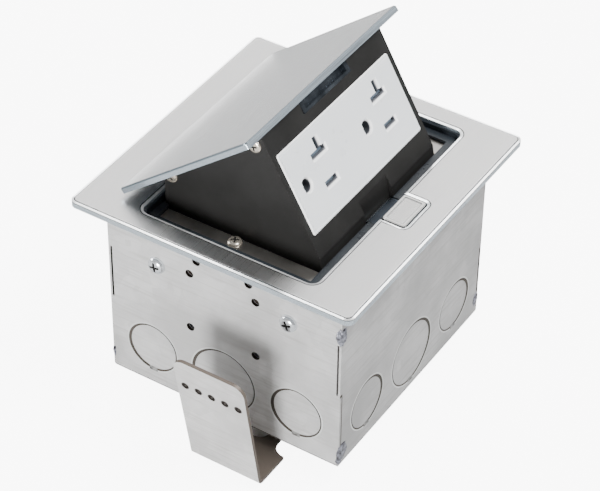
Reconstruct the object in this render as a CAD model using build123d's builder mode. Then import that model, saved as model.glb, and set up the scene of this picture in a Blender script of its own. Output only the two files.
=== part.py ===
from build123d import *
import os
from math import acos, atan2, cos, degrees, radians, sin, sqrt

# Countertop outlet box, shown open: a duplex receptacle in a housing that swings up out of the counter.
# Millimetres. z = 0 is the countertop, the button is on the -Y side, X runs along the button's edge.

# Clearances
fit_clearance = 0.1
thread_clearance = 0.1
pin_clearance = 0.05
bolt_clearance = 0.4
leg_clearance = 0.3

# Receptacle, drawn on its face: x along the face and up the face from its centre
body_length = 70.0
body_height = 29.0
body_depth = 20.0
body_corner_radius = 2.0
face_margin = 2.05
face_drop = 15.15
face_length = body_length + 2 * face_margin
face_height = body_height + 2 * face_margin
face_centre_along = body_height / 2 - face_drop
face_proud = 0.4
face_corner_radius = 1.0
face_edge_chamfer = 0.4
face_line_inset = 1.1
face_line_width = 0.25
face_line_depth = 0.15
left_outlet_inset = 15.8
right_outlet_inset = 13.9
slot_height = 1.4
slot_length = 9.0
straight_slot_length = 7.5
slot_centre_x = 1.9
t_slot_up = 6.6
t_stroke_width = 2.0
t_stroke_offset = 0.7
t_stroke_top = 12.3
straight_slot_up = -5.2
ground_offset_x = -10.4
ground_half_height = 2.4
ground_flat_reach = 2.1
ground_well_clearance = 0.3
shutter_length = 11.0
shutter_top = 12.8
shutter_bottom = -7.4
shutter_thickness = 1.2
shutter_travel = 2.4
shutter_gap = 0.15
well_depth = 13.0
contact_width = 3.2
contact_thickness = 0.6
contact_top_gap = 3.0
terminal_radius = 2.8
terminal_height = 1.4
strap_width = 20.0
strap_thickness = 1.2
strap_clearance = 0.3
strap_ear_length = 2.0

# Swinging housing, in its own closed frame: u runs back and v up from the pivot
open_angle = 38.9
housing_wall = 2.0
body_end_clearance = 2.5
housing_half_length = body_length / 2 + body_end_clearance + housing_wall
housing_front_radius = 78.4
face_setback = 3.8
face_distance = housing_front_radius - face_setback
face_lean = 9.3
face_thickness = face_proud + housing_wall
housing_top_v = 14.75
housing_bottom_v = -52.4
housing_bottom_back_u = -30.0
housing_top_back_u = -24.7
top_edge_width = 3.1
cavity_back_u = -17.0
open_back_front_u = -30.0
open_back_bottom_v = 2.0
boss_radius = 5.5
boss_width = 3.0
boss_relief = 1.0
boss_arc_angle = 38.0
boss_inner_x = housing_half_length - boss_width
neck_u = -13.4
neck_v = 0.7
latch_groove_half_width = 9.4
latch_groove_depth = 1.5
latch_groove_radius = housing_front_radius - latch_groove_depth
latch_groove_reach = 2.0
latch_groove_top_angle = 6.0
latch_groove_bottom_angle = 1.0
groove_pad_top_v = -31.0
stop_pin_u = -33.0
stop_pin_v = -19.6
stop_pin_radius = 2.2
stop_pin_length = 4.0

# Trim frame: its opening follows the housing, its rim follows the opening
flange_thickness = 2.75
flange_corner_radius = 3.0
flange_side_margin = 9.6
flange_front_margin = 20.4
housing_side_gap = 12.9
housing_front_gap = 4.5
pivot_back_margin = 17.3
opening_back_margin = 7.7
opening_half_length = housing_half_length + housing_side_gap
flange_length = 2 * (opening_half_length + flange_side_margin)
flange_width = flange_front_margin + housing_front_gap + housing_front_radius + pivot_back_margin
opening_front_y = flange_front_margin - flange_width / 2
pivot_y = flange_width / 2 - pivot_back_margin
pivot_z = -13.5
opening_back_y = pivot_y - opening_back_margin
opening_corner_radius = 3.5
bevel_width = 1.5
bevel_drop = 0.35
notch_half_width = 8.7
notch_depth = 10.4
notch_front_y = opening_front_y - notch_depth
notch_corner_radius = 2.0

# Steel box
box_end_inset = 10.2
box_side_inset = 9.3
box_length = flange_length - 2 * box_end_inset
box_width = flange_width - 2 * box_side_inset
box_bottom_z = -83.7
box_rim_z = -4.0
box_wall = 1.6
box_bend_radius = 3.0
knockout_spacing = 32.3
knockout_z = -64.0
small_knockout_radius = 11.1
large_knockout_radius = 14.1
knockout_groove = 0.5
knockout_tie_width = 3.0
knockout_tie_angle = -90.0
side_hole_radius = 1.75
side_holes = [(11.3, -11.2), (14.4, -18.3), (14.4, -44.5)]
box_screw_inset = 22.2
box_screw_y = box_width / 2 - box_screw_inset
box_screw_z = -20.9
seam_width = 0.8
seam_depth = 1.0
seam_inset = 0.9
upper_seam_top_z = -21.5
upper_seam_bottom_z = -46.0
lower_seam_top_z = -48.5
lower_seam_bottom_z = -71.7
lap_line_width = 0.3
lap_line_depth = 0.3
lap_line_inset = 1.3

# Liner, rails and brackets that carry the mechanism
liner_wall = 0.8
liner_top_z = 1.2
liner_lip_z = -1.0
liner_lip_thickness = 1.2
liner_front_lip = 4.7
liner_side_lip = 4.4
rail_thickness = 1.5
rail_side_gap = 1.3
rail_front_margin = 5.4
rail_back_margin = 4.5
rail_inner_x = housing_half_length + rail_side_gap
rail_front_y = opening_front_y + rail_front_margin
rail_back_y = opening_back_y - rail_back_margin
ledge_screw_inset = 2.5
ledge_screw_x = rail_inner_x + ledge_screw_inset
ledge_screw_reach = 43.0
ledge_screw_y = pivot_y - ledge_screw_reach
bracket_thickness = 1.5
bracket_bottom_z = -28.0
bracket_front_inset = 0.5
bracket_back_reach = 5.0
bracket_corner_radius = 2.0
bracket_front_y = rail_front_y + bracket_front_inset
bracket_back_y = pivot_y + bracket_back_reach
bracket_tab_inset = 0.5
bracket_tab_inner_x = rail_inner_x + bracket_tab_inset
bracket_tab_half_width = 9.0

# Hinge
pin_radius = 2.5
pin_collar_radius = 3.6
pin_collar_thickness = 0.6
pin_end_reach = 1.5
pin_inner_x = boss_inner_x - pin_end_reach
retaining_ring_radius = 4.2
retaining_ring_thickness = 0.7
retaining_ring_gap = 2.4
retaining_ring_clearance = 0.2
block_side_gap = 0.8
block_front_reach = 12.0
block_back_reach = 6.0
block_nub_length = 2.8
block_corner_radius = 1.5
block_inner_x = housing_half_length + block_side_gap
block_front_y = pivot_y - block_front_reach
block_back_y = pivot_y + block_back_reach
block_nub_back_y = block_front_y + block_nub_length
block_bottom_z = -22.0
block_top_z = -2.8
block_nub_top_z = -0.8
block_screw_inset = 4.0
block_screw_y = block_front_y + block_screw_inset
block_screw_head_height = 0.5
spring_pocket_radius = 5.2
spring_pocket_depth = 6.0
hinge_spring_radius = 4.0
hinge_spring_wire = 0.45
hinge_spring_pitch = 1.3
hinge_spring_turns = 3.0
hinge_spring_start = 0.8
hinge_spring_leg_depth = 1.2
spring_hole_clearance = 0.15

# Lid
lid_side_overhang = 10.6
lid_front_overhang = 3.0
lid_length = 2 * (housing_half_length + lid_side_overhang)
lid_front_u = -housing_front_radius - lid_front_overhang
lid_back_u = -9.8
lid_thickness = 2.4
lid_corner_radius = 1.5
lid_edge_bevel = 0.5
lid_back_relief = 0.8
lid_rib_thickness = 1.4
lid_rib_depth = 6.6
lid_rib_front_inset = 6.7
lid_rib_front_u = lid_front_u + lid_rib_front_inset
lid_rib_back_u = -24.0
lid_screw_head_height = 1.0
lid_screw_front_inset = 2.0
lid_screw_back_inset = 2.2
lid_screw_v = 11.9
lid_screw_places = [
    (lid_rib_front_u + lid_screw_front_inset, lid_screw_v),
    (lid_rib_back_u - lid_screw_back_inset, lid_screw_v),
]

# Latch keeper under the lid's front edge
keeper_half_width = 15.5
keeper_bottom_v = 9.3
keeper_lip_top_v = 10.5
keeper_inset = 3.8
keeper_front_u = lid_front_u + keeper_inset
keeper_depth = 3.6
keeper_end_width = 2.0
keeper_sheet = 0.8

# Button and latch
button_half_length = 8.1
button_front_gap = 0.6
button_back_inset = 0.2
button_front_y = notch_front_y + button_front_gap
button_back_y = opening_front_y - button_back_inset
button_top_z = 2.9
button_cap_thickness = 1.7
button_corner_radius = 1.4
button_edge_chamfer = 0.3
button_border = 1.1
button_recess_radius = 0.6
button_inset = 0.3
button_travel = 2.2
leg_half_width = 3.6
leg_setback = 2.5
leg_tip_length = 0.8
leg_back_y = button_back_y - leg_setback
leg_tip_y = leg_back_y - leg_tip_length
leg_pad_top_z = -4.7
leg_pad_bottom_z = -5.9
leg_pad_length = 3.6
leg_pad_overhang = 0.9
ramp_gap = 0.1
bolt_half_width = 8.2
bolt_thickness = 1.5
bolt_bottom_z = -2.8
bolt_reach = 6.3
bolt_tail = 7.3
bolt_back_web = 1.6
bolt_window_inset = 0.3
bolt_tip_y = opening_front_y + bolt_reach
bolt_back_y = opening_front_y - bolt_tail
bolt_window_front_y = bolt_back_y + bolt_back_web
bolt_window_back_y = opening_front_y - bolt_window_inset
bolt_nose_chamfer = 0.9
bolt_slot_x = 6.2
bolt_slot_width = 2.2
bolt_slot_extra = 0.6
latch_case_half_width = 11.5
latch_case_top_z = -2.1
latch_case_bottom_z = -16.0
latch_case_wall = 1.0
latch_case_front_inset = 1.1
latch_case_back_inset = 0.5
latch_case_front_y = notch_front_y + latch_case_front_inset
latch_case_back_y = opening_front_y - latch_case_back_inset
latch_case_upper_front_y = notch_front_y - fit_clearance
shelf_thickness = 1.5
shelf_window_margin = 0.8
lug_length = 0.8
button_spring_radius = 1.5
button_spring_wire = 0.35
button_spring_turns = 5
latch_spring_radius = 0.55
latch_spring_wire = 0.18
latch_spring_end_gap = 0.05
latch_spring_turns = 4

# Counter clamps
clamp_width = 30.5
clamp_offset_y = -12.4
clamp_thickness = 1.4
clamp_drop = 6.3
clamp_height = 57.5
clamp_reach = 17.4
clamp_spread = 10.8
clamp_floor_z = box_bottom_z - clamp_drop
clamp_bend_x = box_length / 2 + clamp_reach
clamp_top_x = clamp_bend_x + clamp_spread
clamp_top_z = clamp_floor_z + clamp_height
clamp_bend_radius = 3.0
clamp_top_corner_radius = 5.0
clamp_shoulder = 1.0
clamp_narrow_start_x = box_length / 2 + clamp_shoulder
clamp_tongue_half_width = 9.2
clamp_tongue_length = 13.8
clamp_tongue_end_x = box_length / 2 - clamp_tongue_length
clamp_tongue_corner_radius = 2.0
clamp_hole_radius = 1.3
clamp_hole_spacing = 5.75
clamp_hole_count = 5
clamp_hole_drop = 14.0
clamp_screw_inset = 6.3
clamp_screw_x = box_length / 2 - clamp_screw_inset
spacer_radius = 4.0

# Fasteners
head_bevel_share = 0.35
small_head_radius = 2.75
small_head_height = 1.3
small_shank_radius = 1.5
small_shank_length = 4.5
pan_head_radius = 3.6
pan_head_height = 2.2
pan_shank_radius = 1.9
pan_shank_length = 5.0
clamp_screw_length = 12.0
nut_radius = 4.0
nut_height = 3.0
ground_screw_end_inset = 25.8
ground_screw_side_inset = 25.0

os.makedirs("parts", exist_ok=True)


def save(builder, label):
    builder.part.label = label
    export_step(builder.part, f"parts/{label}.step")


def pan_head_screw(head_radius, head_height, shank_radius, shank_length):
    """A screw along Z with its head seated on z = 0 and its shank below."""
    with BuildPart() as screw:
        Cylinder(head_radius, head_height, align=(Align.CENTER, Align.CENTER, Align.MIN))
        chamfer(screw.faces().sort_by(Axis.Z)[-1].edges(), head_height * head_bevel_share)
        Cylinder(shank_radius, shank_length, align=(Align.CENTER, Align.CENTER, Align.MAX))
    return screw.part


def place(x, y, z, direction):
    return Plane(origin=(x, y, z), z_dir=direction).location


tilt_cos = cos(radians(open_angle))
tilt_sin = sin(radians(open_angle))
lean_cos = cos(radians(face_lean))
lean_sin = sin(radians(face_lean))


def popup_point(x, u, v):
    """World place of a point of the housing's closed frame, with the housing open."""
    return (x, pivot_y + u * tilt_cos + v * tilt_sin, pivot_z - u * tilt_sin + v * tilt_cos)


def popup_level(v):
    """The plane parallel to the lid at height v; its X runs along X and its Y along u."""
    return Plane(origin=popup_point(0, 0, v), x_dir=(1, 0, 0), z_dir=(0, tilt_sin, tilt_cos))


popup_side = Plane(origin=popup_point(0, 0, 0), x_dir=(0, tilt_cos, -tilt_sin), z_dir=(1, 0, 0))

# The face is a chord of the front circle, square to the line that leans below the pivot's level
face_foot_u = -face_distance * lean_cos
face_foot_v = -face_distance * lean_sin
face_centre_u = face_foot_u + face_centre_along * lean_sin
face_centre_v = face_foot_v - face_centre_along * lean_cos
face_normal_y = -lean_cos * tilt_cos - lean_sin * tilt_sin
face_normal_z = lean_cos * tilt_sin - lean_sin * tilt_cos
receptacle_plane = Plane(
    origin=popup_point(0, face_centre_u, face_centre_v),
    x_dir=(1, 0, 0),
    z_dir=(0, face_normal_y, face_normal_z),
)


def face_point(v):
    """Point of the housing's front face line at height v."""
    return (face_foot_u - (v - face_foot_v) * lean_sin / lean_cos, v)


def tangent_point(u, v, side):
    """Point where a line from (u, v) touches the pivot boss."""
    angle = atan2(v, u) + side * acos(boss_radius / sqrt(u * u + v * v))
    return (boss_radius * cos(angle), boss_radius * sin(angle))


def on_circle(radius, angle):
    return (radius * cos(radians(angle)), radius * sin(radians(angle)))


half_chord = sqrt(housing_front_radius**2 - face_distance**2)
chord_bottom = (face_foot_u + half_chord * lean_sin, face_foot_v - half_chord * lean_cos)
chord_bottom_angle = 180 + degrees(atan2(-chord_bottom[1], -chord_bottom[0]))
arc_bottom_u = -sqrt(housing_front_radius**2 - housing_bottom_v**2)
arc_bottom_angle = 180 + degrees(atan2(-housing_bottom_v, -arc_bottom_u))
arc_middle = on_circle(housing_front_radius, (chord_bottom_angle + arc_bottom_angle) / 2)
lower_tangent = tangent_point(housing_bottom_back_u, housing_bottom_v, 1)
upper_tangent = tangent_point(neck_u, neck_v, -1)

# Trim frame: flange with a bevelled rim, a bevelled opening and the button's notch
with BuildPart() as trim_frame:
    with BuildSketch():
        RectangleRounded(flange_length, flange_width, flange_corner_radius)
        with BuildSketch(mode=Mode.PRIVATE) as opening:
            with Locations((0, (opening_front_y + opening_back_y) / 2)):
                RectangleRounded(
                    2 * opening_half_length, opening_back_y - opening_front_y, opening_corner_radius
                )
            with Locations((0, (notch_front_y + opening_front_y) / 2 + notch_corner_radius)):
                RectangleRounded(
                    2 * notch_half_width,
                    opening_front_y - notch_front_y + 2 * notch_corner_radius,
                    notch_corner_radius,
                )
        add(opening.sketch, mode=Mode.SUBTRACT)
    extrude(amount=flange_thickness)
    top_face = trim_frame.faces().sort_by(Axis.Z)[-1]
    chamfer(top_face.edges(), length=bevel_width, length2=bevel_drop, reference=top_face)
save(trim_frame, "trim_frame")

# Steel box with knockout rings held by one tie each, screw holes, corner seams and a bent-up bottom edge
box_half_length = box_length / 2
box_half_width = box_width / 2
clamp_hole_places = [(-clamp_screw_x, clamp_offset_y), (clamp_screw_x, -clamp_offset_y)]
front_wall = Plane(origin=(0, -box_half_width, 0), x_dir=(1, 0, 0), z_dir=(0, -1, 0))
back_wall = Plane(origin=(0, box_half_width, 0), x_dir=(-1, 0, 0), z_dir=(0, 1, 0))
right_wall = Plane(origin=(box_half_length, 0, 0), x_dir=(0, 1, 0), z_dir=(1, 0, 0))
left_wall = Plane(origin=(-box_half_length, 0, 0), x_dir=(0, -1, 0), z_dir=(-1, 0, 0))
with BuildPart() as steel_box:
    with BuildSketch(Plane.XY.offset(box_bottom_z)):
        Rectangle(box_length, box_width)
    extrude(amount=box_rim_z - box_bottom_z)
    fillet(steel_box.faces().sort_by(Axis.Z)[0].edges(), box_bend_radius)
    with BuildSketch(Plane.XY.offset(box_bottom_z + box_wall)):
        Rectangle(box_length - 2 * box_wall, box_width - 2 * box_wall)
    extrude(amount=box_rim_z - box_bottom_z, mode=Mode.SUBTRACT)
    for wall in (front_wall, back_wall, right_wall, left_wall):
        for knockout_x, radius in (
            (-knockout_spacing, small_knockout_radius),
            (0, large_knockout_radius),
            (knockout_spacing, small_knockout_radius),
        ):
            with BuildSketch(wall):
                with Locations((knockout_x, knockout_z)):
                    Circle(radius)
                    Circle(radius - knockout_groove, mode=Mode.SUBTRACT)
                    with PolarLocations(radius, 1, start_angle=knockout_tie_angle):
                        Rectangle(4 * knockout_groove, knockout_tie_width, mode=Mode.SUBTRACT)
            extrude(amount=-knockout_groove, mode=Mode.SUBTRACT)
    for wall in (right_wall, left_wall):
        with BuildSketch(wall):
            for hole_y, hole_z in side_holes:
                with Locations((hole_y, hole_z), (-hole_y, hole_z)):
                    Circle(side_hole_radius)
            with Locations((box_screw_y, box_screw_z), (-box_screw_y, box_screw_z)):
                Circle(pan_shank_radius + thread_clearance)
        extrude(amount=-2 * box_wall, mode=Mode.SUBTRACT)
    with BuildSketch(Plane.XY.offset(box_bottom_z)):
        with Locations(*clamp_hole_places):
            Circle(pan_shank_radius + thread_clearance)
    extrude(amount=2 * box_wall, mode=Mode.SUBTRACT)
    upper_seam_x = box_half_width - seam_inset - seam_width / 2
    for wall in (right_wall, left_wall):
        with BuildSketch(wall):
            upper_seam_z = (upper_seam_top_z + upper_seam_bottom_z) / 2
            with Locations((-upper_seam_x, upper_seam_z), (upper_seam_x, upper_seam_z)):
                Rectangle(seam_width, upper_seam_top_z - upper_seam_bottom_z)
        extrude(amount=-seam_depth, mode=Mode.SUBTRACT)
    for wall in (front_wall, back_wall):
        with BuildSketch(wall):
            with Locations(
                (box_half_length - seam_width, (lower_seam_top_z + lower_seam_bottom_z) / 2)
            ):
                Rectangle(seam_width, lower_seam_top_z - lower_seam_bottom_z)
        extrude(amount=-seam_depth, mode=Mode.SUBTRACT)
        with BuildSketch(wall):
            with Locations(
                (lap_line_inset - box_half_length, (upper_seam_bottom_z + lower_seam_bottom_z) / 2)
            ):
                Rectangle(lap_line_width, upper_seam_bottom_z - lower_seam_bottom_z)
        extrude(amount=-lap_line_depth, mode=Mode.SUBTRACT)
save(steel_box, "steel_box")

# Opening liner: a thin wall inside the opening with a lip turned in at the front and the sides
liner_half_length = opening_half_length - fit_clearance
liner_front_y = opening_front_y + fit_clearance
liner_back_y = opening_back_y - fit_clearance
liner_centre_y = (liner_front_y + liner_back_y) / 2
liner_width = liner_back_y - liner_front_y
liner_corner_radius = opening_corner_radius - fit_clearance
liner_bottom_z = box_rim_z + rail_thickness
lip_inner_front_y = liner_front_y + liner_front_lip
with BuildPart() as opening_liner:
    with BuildSketch(Plane.XY.offset(liner_bottom_z)):
        with Locations((0, liner_centre_y)):
            RectangleRounded(2 * liner_half_length, liner_width, liner_corner_radius)
            RectangleRounded(
                2 * (liner_half_length - liner_wall),
                liner_width - 2 * liner_wall,
                liner_corner_radius - liner_wall,
                mode=Mode.SUBTRACT,
            )
    extrude(amount=liner_top_z - liner_bottom_z)
    with BuildSketch(Plane.XY.offset(liner_lip_z - liner_lip_thickness)):
        with Locations((0, liner_centre_y)):
            RectangleRounded(2 * liner_half_length, liner_width, liner_corner_radius)
        with Locations((0, (lip_inner_front_y + block_front_y - fit_clearance) / 2)):
            Rectangle(
                2 * (liner_half_length - liner_side_lip),
                block_front_y - fit_clearance - lip_inner_front_y,
                mode=Mode.SUBTRACT,
            )
        with Locations((0, liner_back_y)):
            Rectangle(
                2 * (liner_half_length - liner_wall),
                2 * (liner_back_y - block_front_y + fit_clearance),
                mode=Mode.SUBTRACT,
            )
    extrude(amount=liner_lip_thickness)
    with BuildSketch(Plane.XY.offset(liner_bottom_z)):
        with Locations((0, (liner_front_y + lip_inner_front_y) / 2)):
            Rectangle(2 * (bolt_half_width + bolt_clearance), 2 * liner_front_lip)
    extrude(amount=bolt_bottom_z + bolt_thickness + bolt_clearance - liner_bottom_z, mode=Mode.SUBTRACT)
save(opening_liner, "opening_liner")

# Rails: flat ledges that lie on the box rim and carry the liner
for side, name in ((-1, "rail_left"), (1, "rail_right")):
    with BuildPart() as rail:
        with BuildSketch(Plane.XY.offset(box_rim_z)):
            with Locations((side * (rail_inner_x + liner_half_length) / 2, (rail_front_y + rail_back_y) / 2)):
                Rectangle(liner_half_length - rail_inner_x, rail_back_y - rail_front_y)
            with Locations((side * ledge_screw_x, ledge_screw_y)):
                Circle(small_shank_radius + thread_clearance, mode=Mode.SUBTRACT)
        extrude(amount=rail_thickness)
    save(rail, name)

# Brackets: upright plates inside the box walls with a tab under each rail
bracket_outer_x = box_half_length - box_wall
block_screw_levels = (block_bottom_z + block_screw_inset, block_top_z - block_screw_inset)
block_screw_places = [(block_screw_y, level) for level in block_screw_levels]
bracket_inner_x = bracket_outer_x - bracket_thickness
for side, name in ((-1, "box_bracket_left"), (1, "box_bracket_right")):
    inner_face = Plane(origin=(side * bracket_inner_x, 0, 0), x_dir=(0, 1, 0), z_dir=(1, 0, 0))
    with BuildPart() as box_bracket:
        with BuildSketch(inner_face):
            with Locations(((bracket_front_y + bracket_back_y) / 2, (bracket_bottom_z + box_rim_z) / 2)):
                RectangleRounded(
                    bracket_back_y - bracket_front_y, box_rim_z - bracket_bottom_z, bracket_corner_radius
                )
            with Locations((box_screw_y, box_screw_z), (-box_screw_y, box_screw_z)):
                Circle(pan_shank_radius + thread_clearance, mode=Mode.SUBTRACT)
            with Locations(*block_screw_places):
                Circle(small_shank_radius + thread_clearance, mode=Mode.SUBTRACT)
        extrude(amount=side * bracket_thickness)
        with BuildSketch(Plane.XY.offset(box_rim_z)):
            with Locations((side * (bracket_tab_inner_x + bracket_outer_x) / 2, ledge_screw_y)):
                Rectangle(bracket_outer_x - bracket_tab_inner_x, 2 * bracket_tab_half_width)
            with Locations((side * ledge_screw_x, ledge_screw_y)):
                Circle(small_shank_radius + thread_clearance, mode=Mode.SUBTRACT)
        extrude(amount=-bracket_thickness)
    save(box_bracket, name)

with BuildPart() as ledge_screws:
    for side in (-1, 1):
        with Locations(place(side * ledge_screw_x, ledge_screw_y, box_rim_z + rail_thickness, (0, 0, 1))):
            add(
                pan_head_screw(
                    small_head_radius, small_head_height, small_shank_radius, small_shank_length
                )
            )
save(ledge_screws, "ledge_screws")

with BuildPart() as box_screws:
    for side in (-1, 1):
        with Locations(
            place(side * box_half_length, -box_screw_y, box_screw_z, (side, 0, 0)),
            place(side * box_half_length, box_screw_y, box_screw_z, (side, 0, 0)),
        ):
            add(
                pan_head_screw(pan_head_radius, pan_head_height, pan_shank_radius, pan_shank_length)
            )
save(box_screws, "box_screws")

# Hinge blocks on the brackets, with a spring pocket round the pin and a nub in the opening's corner
pin_bore = pin_radius + pin_clearance
for side, name in ((-1, "hinge_block_left"), (1, "hinge_block_right")):
    inner_face = Plane(origin=(side * block_inner_x, 0, 0), x_dir=(0, 1, 0), z_dir=(1, 0, 0))
    with BuildPart() as hinge_block:
        with BuildSketch(inner_face):
            with Locations(((block_front_y + block_back_y) / 2, (block_bottom_z + block_top_z) / 2)):
                RectangleRounded(
                    block_back_y - block_front_y, block_top_z - block_bottom_z, block_corner_radius
                )
            with Locations(((block_front_y + block_nub_back_y) / 2, block_top_z)):
                Rectangle(block_nub_back_y - block_front_y, 2 * (block_nub_top_z - block_top_z))
            with Locations(*block_screw_places):
                Circle(small_shank_radius + thread_clearance, mode=Mode.SUBTRACT)
            with Locations((pivot_y, pivot_z)):
                Circle(pin_bore, mode=Mode.SUBTRACT)
        extrude(amount=side * (bracket_inner_x - block_inner_x))
        with BuildSketch(inner_face):
            with Locations((pivot_y, pivot_z)):
                Circle(spring_pocket_radius)
        extrude(amount=side * spring_pocket_depth, mode=Mode.SUBTRACT)
    save(hinge_block, name)

with BuildPart() as hinge_block_screws:
    for side in (-1, 1):
        with Locations(
            *[
                place(side * block_inner_x, block_screw_y, z, (-side, 0, 0))
                for z in block_screw_levels
            ]
        ):
            add(
                pan_head_screw(
                    small_head_radius,
                    block_screw_head_height,
                    small_shank_radius,
                    bracket_outer_x - block_inner_x,
                )
            )
save(hinge_block_screws, "hinge_block_screws")

# Pivot pins: a shaft from the bracket through the block into the housing, with a collar between them
for side, name in ((-1, "pivot_pin_left"), (1, "pivot_pin_right")):
    with BuildPart() as pivot_pin:
        with BuildSketch(Plane(origin=(side * pin_inner_x, 0, 0), x_dir=(0, 1, 0), z_dir=(1, 0, 0))):
            with Locations((pivot_y, pivot_z)):
                Circle(pin_radius)
        extrude(amount=side * (bracket_inner_x - pin_inner_x))
        with BuildSketch(Plane(origin=(side * block_inner_x, 0, 0), x_dir=(0, 1, 0), z_dir=(1, 0, 0))):
            with Locations((pivot_y, pivot_z)):
                Circle(pin_collar_radius)
        extrude(amount=-side * pin_collar_thickness)
    save(pivot_pin, name)

ring_x = boss_inner_x - retaining_ring_clearance - retaining_ring_thickness
with BuildPart() as retaining_rings:
    for side in (-1, 1):
        with BuildSketch(Plane(origin=(side * ring_x, 0, 0), x_dir=(0, 1, 0), z_dir=(1, 0, 0))):
            with Locations((pivot_y, pivot_z)):
                Circle(retaining_ring_radius)
                Circle(pin_radius, mode=Mode.SUBTRACT)
            with Locations((pivot_y + retaining_ring_radius, pivot_z)):
                Rectangle(2 * retaining_ring_radius, retaining_ring_gap, mode=Mode.SUBTRACT)
        extrude(amount=side * retaining_ring_thickness)
save(retaining_rings, "retaining_rings")

# Torsion springs round the pins: one leg in the housing's ear, the other in the block
spring_leg_inner_x = housing_half_length - hinge_spring_leg_depth
spring_leg_places = []
for side, name in ((-1, "hinge_spring_left"), (1, "hinge_spring_right")):
    coil_start_x = block_inner_x + hinge_spring_start
    coil_length = hinge_spring_pitch * hinge_spring_turns
    with BuildPart() as hinge_spring:
        with BuildLine():
            coil = Helix(
                hinge_spring_pitch,
                coil_length,
                hinge_spring_radius,
                center=(side * coil_start_x, pivot_y, pivot_z),
                direction=(side, 0, 0),
            )
        with BuildSketch(Plane(origin=coil @ 0, z_dir=coil % 0)):
            Circle(hinge_spring_wire)
        sweep(is_frenet=True)
        with Locations(coil @ 0, coil @ 1):
            Sphere(hinge_spring_wire)
        start_y = (coil @ 0).Y
        start_z = (coil @ 0).Z
        with BuildSketch(Plane(origin=(side * spring_leg_inner_x, start_y, start_z), z_dir=(side, 0, 0))):
            Circle(hinge_spring_wire)
        extrude(amount=coil_start_x - spring_leg_inner_x)
        with BuildSketch(Plane(origin=coil @ 1, z_dir=(side, 0, 0))):
            Circle(hinge_spring_wire)
        extrude(amount=block_inner_x + spring_pocket_depth - coil_start_x - coil_length)
    save(hinge_spring, name)
    start_back = start_y - pivot_y
    start_up = start_z - pivot_z
    spring_leg_places.append(
        (side, start_back * tilt_cos - start_up * tilt_sin, start_back * tilt_sin + start_up * tilt_cos)
    )

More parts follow.
